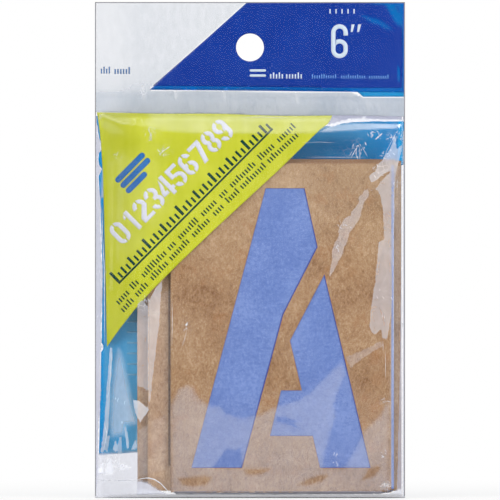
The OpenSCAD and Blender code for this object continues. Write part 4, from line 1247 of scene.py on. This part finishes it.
def cut_shade_strip(name, loops, near, far, mat, body):
    """A narrow dark strip inside each cut-out: painted shade for the shadow that the cut throws on the sheet
    behind it.
    """
    points, quads = [], []
    for loop in loops:
        turn = 1 if sum(a[0] * b[1] - b[0] * a[1] for a, b in pairs(loop)) > 0 else -1
        base, n = len(points), len(loop)
        points += loop + rim_inside(loop, turn)
        for i, j in pairs(list(range(n))):
            quads.append((base + i, base + j, base + n + j, base + n + i)[::turn])
    x, z = np.array(points).T
    front, back = (np.column_stack([x, 0 * x + y, z]) for y in (near, far))
    ob = shell(name, quads, front, back, [mat], body, smoothly=False)


KRAFT = [kraft(f"oilboard_{i}", i + 1, tone) for i, tone in enumerate(TONES)]
cards = sorted((n for n in NODES if n.startswith("card_")), key=lambda n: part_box(n)[0].y)
for i, card in enumerate(cards):
    dress(card, KRAFT[OWN_TONE.get(card, 1 + i % 4)])
dress("interleaf", paper("sheet_lilac"))
cut_shade_strip("cut_shade_strip_A", node_loops("card_A"), BACK_A - RIM_NEAR, BACK_A - RIM_FAR, CUT_SHADE, "stencil_A")

# Lamps in metres: place, width and height, and power
LAMPS = {
    "key": ((1.25, -1.3, 0.1), (0.8, 0.8), 21.8),
    "fill": ((-1.1, -1.45, 0.6), (0.9, 0.9), 19),
    "top": ((0.0, -0.55, 1.35), (1.2, 0.4), 9),
    "rear": ((0.4, 1.6, 0.9), (1.2, 1.0), 20),
}
AIM, LIT = (0, 0, -0.11), 0.67
# The world's strength as light, as plain background and in reflections
WORLD_LIGHT, WORLD_SEEN, WORLD_GLOSS = 0.42, 1.0, 2.2
# The floor's half width, and where its white grows from FLOOR_NEAR to full
FLOOR_HALF, FADE_START, FADE_END, FLOOR_NEAR = 4, 0.16, 0.5, 0.7


def lamp(name, place, size, power):
    light = bpy.data.lights.new(name, "AREA")
    light.shape, light.size, light.size_y = "RECTANGLE", size[0], size[1]
    light.energy = power * LIT
    ob = add_object(name, light)
    ob.location = place
    ob.rotation_euler = (Vector(AIM) - Vector(place)).to_track_quat("-Z", "Y").to_euler()
    ob.visible_camera = False


def background_rays(g):
    """1 for rays that see the plain background and 0 for light, and 1 for reflections alone."""
    ray = g.n("LightPath").outputs
    seen = g.math("MAXIMUM", ray["Is Camera Ray"], ray["Is Glossy Ray"])
    return g.math("MAXIMUM", seen, ray["Is Transmission Ray"]), ray["Is Glossy Ray"]


def light_world():
    """A white world: dim as light, plain white behind the object, and bright in reflections."""
    world = bpy.data.worlds.new("world")
    bpy.context.scene.world = world
    g = Nodes(world, "OutputWorld")
    seen, glossy = background_rays(g)
    light, white, gloss = (g.n("Background", {0: (1, 1, 1, 1), 1: strength}).outputs[0]
                           for strength in (WORLD_LIGHT, WORLD_SEEN, WORLD_GLOSS))
    g.done(g.over(glossy, g.over(seen, light, white), gloss))


def floor():
    """A pale floor that keeps the shadow near the object and is white further off."""
    me = bpy.data.meshes.new("floor")
    corners = [(x, y, LOW * MM) for x, y in ((-1, -1), (1, -1), (1, 1), (-1, 1))]
    me.from_pydata([(x * FLOOR_HALF, y * FLOOR_HALF, z) for x, y, z in corners], [], [(0, 1, 2, 3)])
    g = material("floor")
    away = g.n("VectorMath", {0: g.co, 1: (0.0, 0.0, LOW * MM)}, operation="DISTANCE").outputs["Value"]
    share = g.mul(background_rays(g)[0], g.fade(away, FADE_START, FADE_END, FLOOR_NEAR, 1.0))
    matt = g.n("BsdfDiffuse", {"Color": (0.93, 0.93, 0.93, 1)}).outputs[0]
    white = g.n("Emission", {"Color": (1, 1, 1, 1), "Strength": 1.0}).outputs[0]
    me.materials.append(g.done(g.over(share, matt, white)))
    add_object("floor", me)


for name, values in LAMPS.items():
    lamp(name, *values)
light_world()
floor()
bpy.context.scene.view_settings.view_transform = "Standard"
